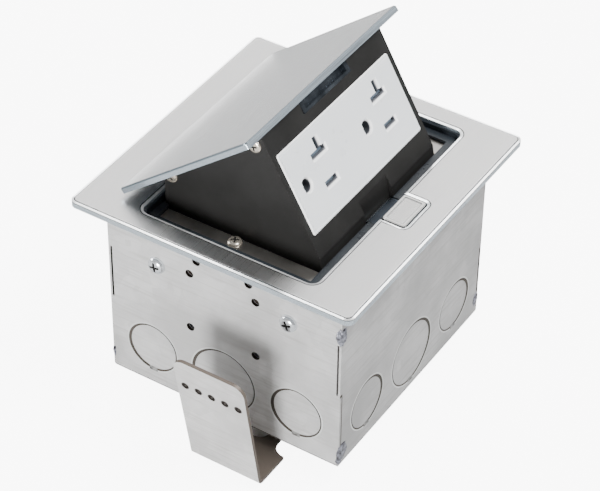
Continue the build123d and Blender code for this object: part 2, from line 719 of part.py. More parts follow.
# Swinging housing: a flat face and a round front about the pivot, open at the top and the back
with BuildPart() as popup_housing:
    with BuildSketch(popup_side) as side_outline:
        with BuildLine():
            Line(face_point(housing_top_v), chord_bottom)
            ThreePointArc(chord_bottom, arc_middle, (arc_bottom_u, housing_bottom_v))
            Line((arc_bottom_u, housing_bottom_v), (housing_bottom_back_u, housing_bottom_v))
            Line((housing_bottom_back_u, housing_bottom_v), lower_tangent)
            ThreePointArc(lower_tangent, on_circle(boss_radius, boss_arc_angle), upper_tangent)
            Line(upper_tangent, (neck_u, neck_v))
            Line((neck_u, neck_v), (housing_top_back_u, housing_top_v))
            Line((housing_top_back_u, housing_top_v), face_point(housing_top_v))
        make_face()
    extrude(amount=housing_half_length, both=True)
    with BuildSketch(popup_side):
        offset(side_outline.sketch_local, -housing_wall, kind=Kind.INTERSECTION)
    extrude(amount=housing_half_length - housing_wall, both=True, mode=Mode.SUBTRACT)
    with BuildSketch(popup_level(housing_top_v)):
        with Locations((0, face_point(housing_top_v)[0] + top_edge_width)):
            Rectangle(
                2 * (housing_half_length - housing_wall),
                housing_top_back_u - face_point(housing_top_v)[0] - top_edge_width,
                align=(Align.CENTER, Align.MIN),
            )
    extrude(amount=-3 * housing_wall, mode=Mode.SUBTRACT)
    with BuildSketch(popup_side):
        with Locations((cavity_back_u, 0)):
            Rectangle(
                housing_front_radius, 2 * housing_front_radius, align=(Align.MIN, Align.CENTER)
            )
    extrude(amount=boss_inner_x, both=True, mode=Mode.SUBTRACT)
    with BuildSketch(popup_side):
        Circle(boss_radius)
    extrude(amount=housing_half_length, both=True)
    with BuildSketch(popup_side):
        Circle(boss_radius + boss_relief)
    extrude(amount=boss_inner_x, both=True, mode=Mode.SUBTRACT)
    with BuildSketch(popup_side):
        Circle(pin_bore)
        with Locations(*lid_screw_places):
            Circle(small_shank_radius + thread_clearance)
    extrude(amount=2 * housing_half_length, both=True, mode=Mode.SUBTRACT)
    for side, leg_u, leg_v in spring_leg_places:
        with BuildSketch(popup_side):
            with Locations((leg_u, leg_v)):
                Circle(hinge_spring_wire + spring_hole_clearance)
        extrude(amount=side * 2 * housing_half_length, mode=Mode.SUBTRACT)
    with BuildSketch(popup_side):
        with Locations((open_back_front_u, open_back_bottom_v)):
            Rectangle(
                neck_u - open_back_front_u,
                2 * housing_top_v,
                align=(Align.MIN, Align.MIN),
            )
    extrude(amount=housing_half_length - housing_wall, both=True, mode=Mode.SUBTRACT)
    with BuildSketch(popup_level(keeper_bottom_v - fit_clearance)):
        with Locations((0, keeper_front_u + keeper_depth + fit_clearance)):
            Rectangle(
                2 * (keeper_half_width + fit_clearance),
                2 * keeper_depth,
                align=(Align.CENTER, Align.MAX),
            )
    extrude(amount=housing_top_v - keeper_bottom_v + housing_wall, mode=Mode.SUBTRACT)
    with BuildSketch(receptacle_plane):
        Rectangle(face_length + 2 * fit_clearance, face_height + 2 * fit_clearance)
    extrude(amount=-2 * housing_wall, mode=Mode.SUBTRACT)
    with BuildSketch(popup_side):
        Circle(latch_groove_radius)
        Circle(latch_groove_radius - housing_wall, mode=Mode.SUBTRACT)
        with Locations((-2 * housing_front_radius, housing_bottom_v)):
            Rectangle(
                1.5 * housing_front_radius,
                groove_pad_top_v - housing_bottom_v,
                align=(Align.MIN, Align.MIN),
                mode=Mode.INTERSECT,
            )
    extrude(amount=latch_groove_half_width + housing_wall, both=True)
    with BuildSketch(popup_side):
        groove_top = face_point(face_foot_v - sqrt(latch_groove_radius**2 - face_distance**2) * lean_cos)
        outer_radius = housing_front_radius + latch_groove_reach
        outer_top = on_circle(outer_radius, chord_bottom_angle - latch_groove_top_angle)
        outer_bottom = on_circle(outer_radius, arc_bottom_angle - latch_groove_bottom_angle)
        groove_bottom = on_circle(latch_groove_radius, arc_bottom_angle - latch_groove_bottom_angle)
        groove_middle = on_circle(latch_groove_radius, (chord_bottom_angle + arc_bottom_angle) / 2)
        with BuildLine():
            Line(groove_top, outer_top)
            Line(outer_top, outer_bottom)
            Line(outer_bottom, groove_bottom)
            ThreePointArc(groove_bottom, groove_middle, groove_top)
        make_face()
    extrude(amount=latch_groove_half_width, both=True, mode=Mode.SUBTRACT)
save(popup_housing, "popup_housing")

# Rivets that meet the bracket tabs when the housing is fully up
with BuildPart() as stop_pins:
    for side in (-1, 1):
        with BuildSketch(popup_side.offset(side * housing_half_length)):
            with Locations((stop_pin_u, stop_pin_v)):
                Circle(stop_pin_radius)
        extrude(amount=side * stop_pin_length)
save(stop_pins, "stop_pins")

# Lid: a plate with a bevelled edge and a folded-down rib along each side
lid_centre_u = (lid_front_u + lid_back_u) / 2
lid_depth = lid_back_u - lid_front_u
rib_outer_x = housing_half_length - housing_wall - fit_clearance
rib_level = popup_level(housing_top_v)
with BuildPart() as lid:
    with BuildSketch(rib_level):
        with Locations((0, lid_centre_u)):
            RectangleRounded(lid_length, lid_depth, lid_corner_radius)
    extrude(amount=lid_thickness)
    lid_top = lid.faces().sort_by(Axis(rib_level.origin, rib_level.z_dir))[-1]
    chamfer(lid_top.edges(), lid_edge_bevel)
    with BuildSketch(popup_side):
        with BuildLine():
            Polyline(
                (lid_back_u + lid_back_relief, housing_top_v - lid_back_relief),
                (lid_back_u - 2 * lid_back_relief, housing_top_v - lid_back_relief),
                (lid_back_u + lid_back_relief, housing_top_v + 2 * lid_back_relief),
                close=True,
            )
        make_face()
    extrude(amount=lid_length, both=True, mode=Mode.SUBTRACT)
    with BuildSketch(rib_level):
        for side in (-1, 1):
            rib_centre_x = rib_outer_x - lid_rib_thickness / 2
            with Locations((side * rib_centre_x, (lid_rib_front_u + lid_rib_back_u) / 2)):
                Rectangle(lid_rib_thickness, lid_rib_back_u - lid_rib_front_u)
    extrude(amount=-lid_rib_depth)
    with BuildSketch(popup_side):
        with Locations(*lid_screw_places):
            Circle(small_shank_radius + thread_clearance)
    extrude(amount=housing_half_length, both=True, mode=Mode.SUBTRACT)
save(lid, "lid")

with BuildPart() as lid_screws:
    for side in (-1, 1):
        seats = [popup_point(side * housing_half_length, u, v) for u, v in lid_screw_places]
        with Locations(*[place(*seat, (side, 0, 0)) for seat in seats]):
            add(
                pan_head_screw(
                    small_head_radius, lid_screw_head_height, small_shank_radius, small_shank_length
                )
            )
save(lid_screws, "lid_screws")

# Latch keeper: a channel with end blocks and a raised front lip that the bolt catches
with BuildPart() as latch_keeper:
    with BuildSketch(popup_level(keeper_bottom_v)):
        with Locations((0, keeper_front_u + keeper_depth / 2)):
            Rectangle(2 * keeper_half_width, keeper_depth)
    extrude(amount=housing_top_v - keeper_bottom_v)
    with BuildSketch(popup_level(keeper_lip_top_v)):
        with Locations((0, keeper_front_u + (keeper_depth - keeper_sheet) / 2)):
            Rectangle(2 * (keeper_half_width - keeper_end_width), keeper_depth - keeper_sheet)
    extrude(amount=housing_top_v - keeper_lip_top_v, mode=Mode.SUBTRACT)
save(latch_keeper, "latch_keeper")

# Receptacle face with a T slot, a straight slot and a round-bottomed ground hole for each outlet
outlet_centres = (left_outlet_inset - body_length / 2, body_length / 2 - right_outlet_inset)
with BuildPart() as receptacle_face:
    with BuildSketch(receptacle_plane.offset(face_proud - face_thickness)):
        RectangleRounded(face_length, face_height, face_corner_radius)
    extrude(amount=face_thickness)
    front_face = receptacle_face.faces().sort_by(Axis(receptacle_plane.origin, receptacle_plane.z_dir))[-1]
    chamfer(front_face.edges(), face_edge_chamfer)
    line_inset = face_line_inset + face_line_width
    with BuildSketch(receptacle_plane.offset(face_proud)):
        Rectangle(face_length - 2 * face_line_inset, face_height - 2 * face_line_inset)
        Rectangle(face_length - 2 * line_inset, face_height - 2 * line_inset, mode=Mode.SUBTRACT)
    extrude(amount=-face_line_depth, mode=Mode.SUBTRACT)
    with BuildSketch(receptacle_plane.offset(face_proud)):
        for outlet_x in outlet_centres:
            with Locations((outlet_x + slot_centre_x, t_slot_up)):
                Rectangle(slot_length, slot_height)
            with Locations((outlet_x + slot_centre_x + t_stroke_offset, t_slot_up)):
                Rectangle(
                    t_stroke_width, t_stroke_top - t_slot_up, align=(Align.CENTER, Align.MIN)
                )
            with Locations((outlet_x + slot_centre_x, straight_slot_up)):
                Rectangle(straight_slot_length, slot_height)
            with Locations((outlet_x + ground_offset_x, 0)):
                Circle(ground_half_height)
                Rectangle(
                    ground_flat_reach, 2 * ground_half_height, align=(Align.MAX, Align.CENTER)
                )
    extrude(amount=-2 * face_thickness, mode=Mode.SUBTRACT)
save(receptacle_face, "receptacle_face")

# Receptacle body: a block behind the face with a well behind each slot and a pocket for each shutter
body_front = face_proud - face_thickness
body_front_plane = receptacle_plane.offset(body_front)
pocket_height = shutter_top - shutter_bottom + shutter_travel + 2 * shutter_gap
pocket_centre_up = (shutter_top + shutter_bottom - shutter_travel) / 2
with BuildPart() as receptacle_body:
    with BuildSketch(body_front_plane):
        RectangleRounded(body_length, body_height, body_corner_radius)
    extrude(amount=-body_depth)
    with BuildSketch(body_front_plane):
        for outlet_x in outlet_centres:
            with Locations((outlet_x + slot_centre_x, pocket_centre_up)):
                Rectangle(shutter_length + 2 * shutter_gap, pocket_height)
    extrude(amount=-shutter_thickness - shutter_gap, mode=Mode.SUBTRACT)
    with BuildSketch(body_front_plane):
        for outlet_x in outlet_centres:
            for up in (t_slot_up, straight_slot_up):
                with Locations((outlet_x + slot_centre_x, up)):
                    Rectangle(slot_length + 4 * fit_clearance, contact_width + 2 * fit_clearance)
            with Locations((outlet_x + ground_offset_x, 0)):
                Circle(ground_half_height + ground_well_clearance)
    extrude(amount=-well_depth, mode=Mode.SUBTRACT)
save(receptacle_body, "receptacle_body")

for outlet_x, name in zip(outlet_centres, ("shutter_left", "shutter_right")):
    with BuildPart() as shutter:
        with BuildSketch(body_front_plane.offset(-shutter_gap / 2)):
            with Locations((outlet_x + slot_centre_x, (shutter_top + shutter_bottom) / 2)):
                Rectangle(shutter_length, shutter_top - shutter_bottom)
            with Locations((outlet_x + slot_centre_x, t_slot_up + shutter_travel)):
                Rectangle(slot_length, slot_height, mode=Mode.SUBTRACT)
            with Locations((outlet_x + slot_centre_x, straight_slot_up + shutter_travel)):
                Rectangle(slot_length, slot_height, mode=Mode.SUBTRACT)
        extrude(amount=-shutter_thickness)
    save(shutter, name)

# Contacts: a pair of brass leaves at the bottom of each well
with BuildPart() as line_contacts:
    with BuildSketch(body_front_plane.offset(-well_depth)):
        for outlet_x in outlet_centres:
            for up in (t_slot_up, straight_slot_up):
                with Locations((outlet_x + slot_centre_x, up)):
                    Rectangle(slot_length, contact_width)
                    Rectangle(slot_length, contact_width - 2 * contact_thickness, mode=Mode.SUBTRACT)
    extrude(amount=well_depth - contact_top_gap)
    with BuildSketch(body_front_plane.offset(-well_depth)):
        for outlet_x in outlet_centres:
            for up in (t_slot_up, straight_slot_up):
                with Locations((outlet_x + slot_centre_x, up)):
                    Rectangle(slot_length, contact_width)
    extrude(amount=contact_thickness)
save(line_contacts, "line_contacts")

# Terminal screws along the body's long sides
terminal_depth = -body_depth / 2
with BuildPart() as terminal_screws:
    for up_side in (-1, 1):
        for outlet_x in outlet_centres:
            seat_offset = Location(
                (outlet_x + slot_centre_x, up_side * body_height / 2, body_front + terminal_depth)
            )
            seat = receptacle_plane * seat_offset
            with BuildSketch(Plane(origin=seat.position, z_dir=receptacle_plane.y_dir * up_side)):
                Circle(terminal_radius)
            extrude(amount=terminal_height)
save(terminal_screws, "terminal_screws")

# Strap: a spring clip behind the body with ears that bear on the inside of the housing's face
strap_back = body_front - body_depth
ear_outer_up = body_height / 2 + strap_clearance + strap_thickness
with BuildPart() as receptacle_strap:
    with BuildSketch(receptacle_plane.offset(strap_back - strap_thickness)):
        Rectangle(strap_width, 2 * ear_outer_up)
    extrude(amount=strap_thickness)
    with BuildSketch(receptacle_plane.offset(strap_back)):
        for up_side in (-1, 1):
            with Locations((0, up_side * (ear_outer_up - strap_thickness / 2))):
                Rectangle(strap_width, strap_thickness)
    extrude(amount=-housing_wall - strap_back - strap_thickness)
    with BuildSketch(receptacle_plane.offset(-housing_wall)):
        for up_side in (-1, 1):
            with Locations((0, up_side * (ear_outer_up + strap_ear_length / 2))):
                Rectangle(strap_width, strap_ear_length + 2 * strap_thickness)
    extrude(amount=-strap_thickness)
save(receptacle_strap, "receptacle_strap")

# Button: a cap with a raised border over a leg whose front face is a 45 degree ramp
cap_bottom_z = button_top_z - button_cap_thickness
bolt_top_z = bolt_bottom_z + bolt_thickness
ramp_z = bolt_window_front_y + ramp_gap + bolt_top_z
ramp_top_y = ramp_z - (bolt_top_z + button_travel)
leg_pad_centre_y = leg_back_y + leg_pad_overhang - leg_pad_length / 2
with BuildPart() as button:
    with BuildSketch(Plane.XY.offset(cap_bottom_z)):
        with Locations((0, (button_front_y + button_back_y) / 2)):
            RectangleRounded(
                2 * button_half_length, button_back_y - button_front_y, button_corner_radius
            )
    extrude(amount=button_cap_thickness)
    chamfer(button.faces().sort_by(Axis.Z)[-1].edges(), button_edge_chamfer)
    with BuildSketch(Plane.XY.offset(button_top_z)):
        with Locations((0, (button_front_y + button_back_y) / 2)):
            RectangleRounded(
                2 * (button_half_length - button_border),
                button_back_y - button_front_y - 2 * button_border,
                button_recess_radius,
            )
    extrude(amount=-button_inset, mode=Mode.SUBTRACT)
    with BuildSketch(Plane.YZ):
        with BuildLine():
            Polyline(
                (leg_back_y, cap_bottom_z),
                (ramp_top_y, cap_bottom_z),
                (ramp_top_y, ramp_z - ramp_top_y),
                (leg_tip_y, ramp_z - leg_tip_y),
                (leg_tip_y, leg_pad_bottom_z),
                (leg_back_y, leg_pad_bottom_z),
                close=True,
            )
        make_face()
    extrude(amount=leg_half_width, both=True)
    with BuildSketch(Plane.XY.offset(leg_pad_bottom_z)):
        with Locations((0, leg_pad_centre_y)):
            Rectangle(2 * leg_half_width, leg_pad_length)
    extrude(amount=leg_pad_top_z - leg_pad_bottom_z)
save(button, "button")

# Latch bolt: a flat bolt with a bevelled nose, a window for the button's leg and two spring slots
with BuildPart() as latch_bolt:
    with BuildSketch(Plane.XY.offset(bolt_bottom_z)):
        with Locations((0, (bolt_back_y + bolt_tip_y) / 2)):
            Rectangle(2 * bolt_half_width, bolt_tip_y - bolt_back_y)
        with Locations((0, (bolt_window_front_y + bolt_window_back_y) / 2)):
            Rectangle(
                2 * (leg_half_width + leg_clearance),
                bolt_window_back_y - bolt_window_front_y,
                mode=Mode.SUBTRACT,
            )
        for side in (-1, 1):
            with Locations((side * bolt_slot_x, bolt_window_back_y)):
                Rectangle(
                    bolt_slot_width,
                    bolt_window_back_y - bolt_window_front_y + bolt_slot_extra,
                    align=(Align.CENTER, Align.MAX),
                    mode=Mode.SUBTRACT,
                )
    extrude(amount=bolt_thickness)
    nose_edge = latch_bolt.edges().filter_by(Axis.X).group_by(Axis.Y)[-1].sort_by(Axis.Z)[-1]
    chamfer(nose_edge, bolt_nose_chamfer)
save(latch_bolt, "latch_bolt")

# Latch case under the flange: a shelf for the bolt, a well for the button's spring and two spring lugs
shelf_top_z = bolt_bottom_z - fit_clearance
lug_front_y = bolt_window_front_y - bolt_clearance
with BuildPart() as latch_case:
    with BuildSketch(Plane.XY.offset(latch_case_bottom_z)):
        with Locations((0, (latch_case_front_y + latch_case_back_y) / 2)):
            Rectangle(2 * latch_case_half_width, latch_case_back_y - latch_case_front_y)
    extrude(amount=shelf_top_z - latch_case_bottom_z)
    with BuildSketch(Plane.XY.offset(latch_case_bottom_z + latch_case_wall)):
        with Locations((0, (latch_case_front_y + latch_case_back_y) / 2)):
            Rectangle(
                2 * (latch_case_half_width - latch_case_wall),
                latch_case_back_y - latch_case_front_y - 2 * latch_case_wall,
            )
    extrude(
        amount=shelf_top_z - shelf_thickness - latch_case_bottom_z - latch_case_wall, mode=Mode.SUBTRACT
    )
    with BuildSketch(Plane.XY.offset(shelf_top_z)):
        with Locations((0, latch_case_back_y - latch_case_wall)):
            Rectangle(
                2 * (leg_half_width + leg_clearance),
                latch_case_back_y - latch_case_wall - bolt_window_front_y + shelf_window_margin,
                align=(Align.CENTER, Align.MAX),
            )
    extrude(amount=-shelf_thickness, mode=Mode.SUBTRACT)
    with BuildSketch(Plane.XY.offset(shelf_top_z)):
        for side in (-1, 1):
            with Locations(
                (
                    side * (latch_case_half_width + bolt_half_width + fit_clearance) / 2,
                    (latch_case_upper_front_y + latch_case_back_y) / 2,
                )
            ):
                Rectangle(
                    latch_case_half_width - bolt_half_width - fit_clearance,
                    latch_case_back_y - latch_case_upper_front_y,
                )
    extrude(amount=latch_case_top_z - shelf_top_z)
    with BuildSketch(Plane.XY.offset(shelf_top_z)):
        for side in (-1, 1):
            with Locations((side * bolt_slot_x, lug_front_y + lug_length / 2)):
                Rectangle(bolt_slot_width - bolt_clearance, lug_length)
    extrude(amount=bolt_thickness)
save(latch_case, "latch_case")

latch_coil_start_y = lug_front_y + lug_length + latch_spring_end_gap + latch_spring_wire
latch_coil_end_y = bolt_window_back_y - latch_spring_end_gap - latch_spring_wire
latch_coil_z = bolt_bottom_z + bolt_thickness / 2
with BuildPart() as latch_springs:
    for side in (-1, 1):
        with BuildLine():
            coil = Helix(
                (latch_coil_end_y - latch_coil_start_y) / latch_spring_turns,
                latch_coil_end_y - latch_coil_start_y,
                latch_spring_radius,
                center=(side * bolt_slot_x, latch_coil_start_y, latch_coil_z),
                direction=(0, 1, 0),
            )
        with BuildSketch(Plane(origin=coil @ 0, z_dir=coil % 0)):
            Rectangle(2 * latch_spring_wire, 2 * latch_spring_wire)
        sweep(is_frenet=True)
save(latch_springs, "latch_springs")

button_coil_bottom_z = latch_case_bottom_z + latch_case_wall + button_spring_wire
button_coil_length = leg_pad_bottom_z - button_spring_wire - button_coil_bottom_z
with BuildPart() as button_spring:
    with BuildLine():
        coil = Helix(
            button_coil_length / button_spring_turns,
            button_coil_length,
            button_spring_radius,
            center=(0, leg_pad_centre_y, button_coil_bottom_z),
        )
    with BuildSketch(Plane(origin=coil @ 0, z_dir=coil % 0)):
        Circle(button_spring_wire)
    sweep(is_frenet=True)
save(button_spring, "button_spring")

# Counter clamps: a J-shaped strip with a tongue under the box and a row of holes near its top
leg_length = sqrt((clamp_top_x - clamp_bend_x) ** 2 + (clamp_top_z - clamp_floor_z) ** 2)
leg_sin = (clamp_top_x - clamp_bend_x) / leg_length
leg_cos = (clamp_top_z - clamp_floor_z) / leg_length
for side, name in ((-1, "counter_clamp_left"), (1, "counter_clamp_right")):
    clamp_y = -side * clamp_offset_y
    with BuildPart() as counter_clamp:
        with BuildSketch(Plane.XZ.offset(-clamp_y)):
            with BuildLine():
                FilletPolyline(
                    (side * clamp_top_x, clamp_top_z),
                    (side * clamp_bend_x, clamp_floor_z),
                    (side * clamp_tongue_end_x, clamp_floor_z),
                    radius=clamp_bend_radius,
                )
                offset(amount=clamp_thickness, side=Side.RIGHT if side > 0 else Side.LEFT)
            make_face()
        extrude(amount=clamp_width / 2, both=True)
        with BuildSketch(Plane.XY.offset(clamp_floor_z - clamp_thickness)) as clamp_plan:
            plan_outer_x = clamp_top_x + clamp_spread
            with Locations((side * (clamp_narrow_start_x + plan_outer_x) / 2, clamp_y)):
                Rectangle(plan_outer_x - clamp_narrow_start_x, clamp_width)
            with Locations((side * (clamp_tongue_end_x + clamp_bend_x) / 2, clamp_y)):
                RectangleRounded(
                    clamp_bend_x - clamp_tongue_end_x,
                    2 * clamp_tongue_half_width,
                    clamp_tongue_corner_radius,
                )
            inner_corners = clamp_plan.vertices().filter_by(
                lambda corner: abs(abs(corner.X) - clamp_narrow_start_x) < fit_clearance
                and abs(abs(corner.Y - clamp_y) - clamp_tongue_half_width) < fit_clearance
            )
            fillet(inner_corners, clamp_width / 2 - clamp_tongue_half_width - fit_clearance)
        extrude(amount=clamp_height + 2 * clamp_thickness, mode=Mode.INTERSECT)
        short_edges = counter_clamp.edges().filter_by(
            lambda edge: abs(edge.length - clamp_thickness) < fit_clearance / 2
        )
        fillet(short_edges.group_by(Axis.Z)[-1], clamp_top_corner_radius)
        leg_face = Plane(
            origin=(side * clamp_top_x, clamp_y, clamp_top_z),
            x_dir=(0, 1, 0),
            z_dir=(side * leg_cos, 0, -leg_sin),
        )
        with BuildSketch(leg_face):
            with Locations((0, -side * clamp_hole_drop)):
                with GridLocations(clamp_hole_spacing, clamp_hole_spacing, clamp_hole_count, 1):
                    Circle(clamp_hole_radius)
        extrude(amount=3 * clamp_thickness, both=True, mode=Mode.SUBTRACT)
        with BuildSketch(Plane.XY.offset(clamp_floor_z)):
            with Locations((side * clamp_screw_x, clamp_y)):
                Circle(pan_shank_radius + thread_clearance)
        extrude(amount=clamp_thickness, mode=Mode.SUBTRACT)
    save(counter_clamp, name)

with BuildPart() as clamp_spacers:
    with BuildSketch(Plane.XY.offset(clamp_floor_z + clamp_thickness)):
        with Locations(*clamp_hole_places):
            Circle(spacer_radius)
            Circle(pan_shank_radius + thread_clearance, mode=Mode.SUBTRACT)
    extrude(amount=box_bottom_z - clamp_floor_z - clamp_thickness)
save(clamp_spacers, "clamp_spacers")

with BuildPart() as clamp_screws:
    with Locations(*[place(x, y, clamp_floor_z, (0, 0, -1)) for x, y in clamp_hole_places]):
        add(pan_head_screw(pan_head_radius, pan_head_height, pan_shank_radius, clamp_screw_length))
save(clamp_screws, "clamp_screws")

with BuildPart() as clamp_nuts:
    with BuildSketch(Plane.XY.offset(box_bottom_z + box_wall)):
        with Locations(*clamp_hole_places):
            RegularPolygon(nut_radius, 6)
            Circle(pan_shank_radius + thread_clearance, mode=Mode.SUBTRACT)
    extrude(amount=nut_height)
save(clamp_nuts, "clamp_nuts")

with BuildPart() as box_ground_screw:
    with Locations(
        (
            box_half_length - ground_screw_end_inset,
            box_half_width - ground_screw_side_inset,
            box_bottom_z + box_wall,
        )
    ):
        Cylinder(pan_head_radius, pan_head_height, align=(Align.CENTER, Align.CENTER, Align.MIN))
save(box_ground_screw, "box_ground_screw")
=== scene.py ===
from math import cos, pi, radians, sin

import bmesh
import bpy
from mathutils import Matrix, Vector, noise


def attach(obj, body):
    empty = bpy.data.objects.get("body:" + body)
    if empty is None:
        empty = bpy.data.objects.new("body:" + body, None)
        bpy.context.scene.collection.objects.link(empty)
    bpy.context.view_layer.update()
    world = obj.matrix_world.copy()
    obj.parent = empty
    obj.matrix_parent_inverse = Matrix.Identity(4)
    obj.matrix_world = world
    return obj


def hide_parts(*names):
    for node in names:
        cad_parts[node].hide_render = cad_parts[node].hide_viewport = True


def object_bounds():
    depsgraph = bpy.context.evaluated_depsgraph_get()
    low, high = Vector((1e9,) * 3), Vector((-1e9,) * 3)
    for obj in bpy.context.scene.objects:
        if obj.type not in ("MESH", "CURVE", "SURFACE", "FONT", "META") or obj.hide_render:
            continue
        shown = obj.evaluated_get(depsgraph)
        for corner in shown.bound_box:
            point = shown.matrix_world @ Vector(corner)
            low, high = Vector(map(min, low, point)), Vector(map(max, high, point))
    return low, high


# Countertop outlet box, open: materials, small fittings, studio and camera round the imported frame.
# Metres. +Z is up out of the counter, the button is on the -Y side.

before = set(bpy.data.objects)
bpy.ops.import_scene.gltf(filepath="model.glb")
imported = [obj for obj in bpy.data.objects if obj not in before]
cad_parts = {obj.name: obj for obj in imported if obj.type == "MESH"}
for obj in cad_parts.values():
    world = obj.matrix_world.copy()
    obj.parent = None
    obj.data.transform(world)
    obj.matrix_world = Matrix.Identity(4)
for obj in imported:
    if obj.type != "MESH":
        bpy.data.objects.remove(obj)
cad_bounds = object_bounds()
MM = 0.001

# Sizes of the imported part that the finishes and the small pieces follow, in mm
BOX_HALF_LENGTH = 51.8
BOX_HALF_WIDTH = 51.0
BOX_FLOOR = -82.0
BOX_CORNER = 48.0
BOX_SCREW_Y = 28.8
BOX_SCREW_Z = -20.9
KNOCKOUT_Z = -64.0
KNOCKOUTS = ((-32.3, 11.1), (0.0, 14.1), (32.3, 11.1))
PIVOT_Y = 43.0
PIVOT_Z = -13.5
OPEN_TURN = radians(38.9)
LID_MID_U = -45.6
CLIP_HOLE_Z = -46.1
CLIP_HOLE_PITCH = 5.75
CLIP_Y = 12.4


# Shared shader effects


def new_group(name, inputs, outputs):
    """An empty node group with float or colour inputs (name, kind, default) and outputs (name, kind)."""
    group = bpy.data.node_groups.new(name, "ShaderNodeTree")
    for label, kind, value in inputs:
        socket = group.interface.new_socket(label, in_out="INPUT", socket_type="NodeSocket" + kind)
        socket.default_value = value
    for label, kind in outputs:
        group.interface.new_socket(label, in_out="OUTPUT", socket_type="NodeSocket" + kind)
    start = group.nodes.new("NodeGroupInput")
    end = group.nodes.new("NodeGroupOutput")
    return group, start, end


def add_node(tree, kind, **settings):
    """A shader node of a kind, with its settings."""
    node = tree.nodes.new("ShaderNode" + kind)
    for key, value in settings.items():
        setattr(node, key, value)
    return node


def math_node(tree, operation, first, second=None):
    """A math node fed by sockets or plain numbers; returns its output socket."""
    node = add_node(tree, "Math", operation=operation)
    for socket, value in zip(node.inputs, (first, second)):
        if value is None:
            continue
        if isinstance(value, bpy.types.NodeSocket):
            tree.links.new(value, socket)
        else:
            socket.default_value = value
    return node.outputs[0]


def colour_mix(tree, factor, first, second, blend="MIX"):
    """Mixes two colours; each argument is a socket or a plain value."""
    node = add_node(tree, "Mix", data_type="RGBA", blend_type=blend)
    for socket, value in ((node.inputs[0], factor), (node.inputs[6], first), (node.inputs[7], second)):
        if isinstance(value, bpy.types.NodeSocket):
            tree.links.new(value, socket)
        else:
            socket.default_value = value
    return node.outputs[2]


def remap(tree, value, low, high, to_low=0.0, to_high=1.0):
    """Maps a socket's range onto another one, held at its ends."""
    node = add_node(tree, "MapRange")
    tree.links.new(value, node.inputs["Value"])
    for label, number in (("From Min", low), ("From Max", high), ("To Min", to_low), ("To Max", to_high)):
        node.inputs[label].default_value = number
    return node.outputs[0]


def brushing_group():
    """Straight brushed grain: long fine streaks, returned as a shade about 0.5 and a bumped normal."""
    group, start, end = new_group(
        "brushing",
        [("Stretch", "Vector", (1, 1, 1)), ("Depth", "Float", 0.1)],
        [("Shade", "Float"), ("Cloud", "Float"), ("Normal", "Vector")],
    )
    place = add_node(group, "TexCoord")
    scaled = add_node(group, "VectorMath", operation="MULTIPLY")
    group.links.new(place.outputs["Object"], scaled.inputs[0])
    group.links.new(start.outputs["Stretch"], scaled.inputs[1])
    streaks = add_node(group, "TexNoise")
    streaks.inputs["Scale"].default_value = 1.0
    streaks.inputs["Detail"].default_value = 5.0
    streaks.inputs["Roughness"].default_value = 0.65
    group.links.new(scaled.outputs[0], streaks.inputs["Vector"])
    cloud = add_node(group, "TexNoise")
    cloud.inputs["Scale"].default_value = 28.0
    cloud.inputs["Detail"].default_value = 3.0
    group.links.new(place.outputs["Object"], cloud.inputs["Vector"])
    bump = add_node(group, "Bump")
    bump.inputs["Distance"].default_value = 0.0002
    group.links.new(start.outputs["Depth"], bump.inputs["Strength"])
    group.links.new(streaks.outputs[0], bump.inputs["Height"])
    group.links.new(streaks.outputs[0], end.inputs["Shade"])
    group.links.new(cloud.outputs[0], end.inputs["Cloud"])
    group.links.new(bump.outputs[0], end.inputs["Normal"])
    return group


def facing_group():
    """How squarely a face looks along a given direction of the piece's own frame."""
    group, start, end = new_group("facing", [("Direction", "Vector", (0, 0, 1))], [("Value", "Float")])
    place = add_node(group, "TexCoord")
    dot = add_node(group, "VectorMath", operation="DOT_PRODUCT")
    group.links.new(place.outputs["Normal"], dot.inputs[0])
    group.links.new(start.outputs["Direction"], dot.inputs[1])
    group.links.new(dot.outputs["Value"], end.inputs["Value"])
    return group


def speckle_group():
    """Fine grain and soft blotches for coats, castings and mouldings."""
    group, start, end = new_group(
        "speckle",
        [("Grain Scale", "Float", 2500.0), ("Blotch Scale", "Float", 60.0), ("Depth", "Float", 0.1)],
        [("Grain", "Float"), ("Blotch", "Float"), ("Normal", "Vector")],
    )
    place = add_node(group, "TexCoord")
    grain = add_node(group, "TexNoise")
    grain.inputs["Detail"].default_value = 2.0
    blotch = add_node(group, "TexNoise")
    blotch.inputs["Detail"].default_value = 4.0
    for texture, label in ((grain, "Grain Scale"), (blotch, "Blotch Scale")):
        group.links.new(place.outputs["Object"], texture.inputs["Vector"])
        group.links.new(start.outputs[label], texture.inputs["Scale"])
    bump = add_node(group, "Bump")
    bump.inputs["Distance"].default_value = 0.0001
    group.links.new(start.outputs["Depth"], bump.inputs["Strength"])
    group.links.new(grain.outputs[0], bump.inputs["Height"])
    group.links.new(grain.outputs[0], end.inputs["Grain"])
    group.links.new(blotch.outputs[0], end.inputs["Blotch"])
    group.links.new(bump.outputs[0], end.inputs["Normal"])
    return group


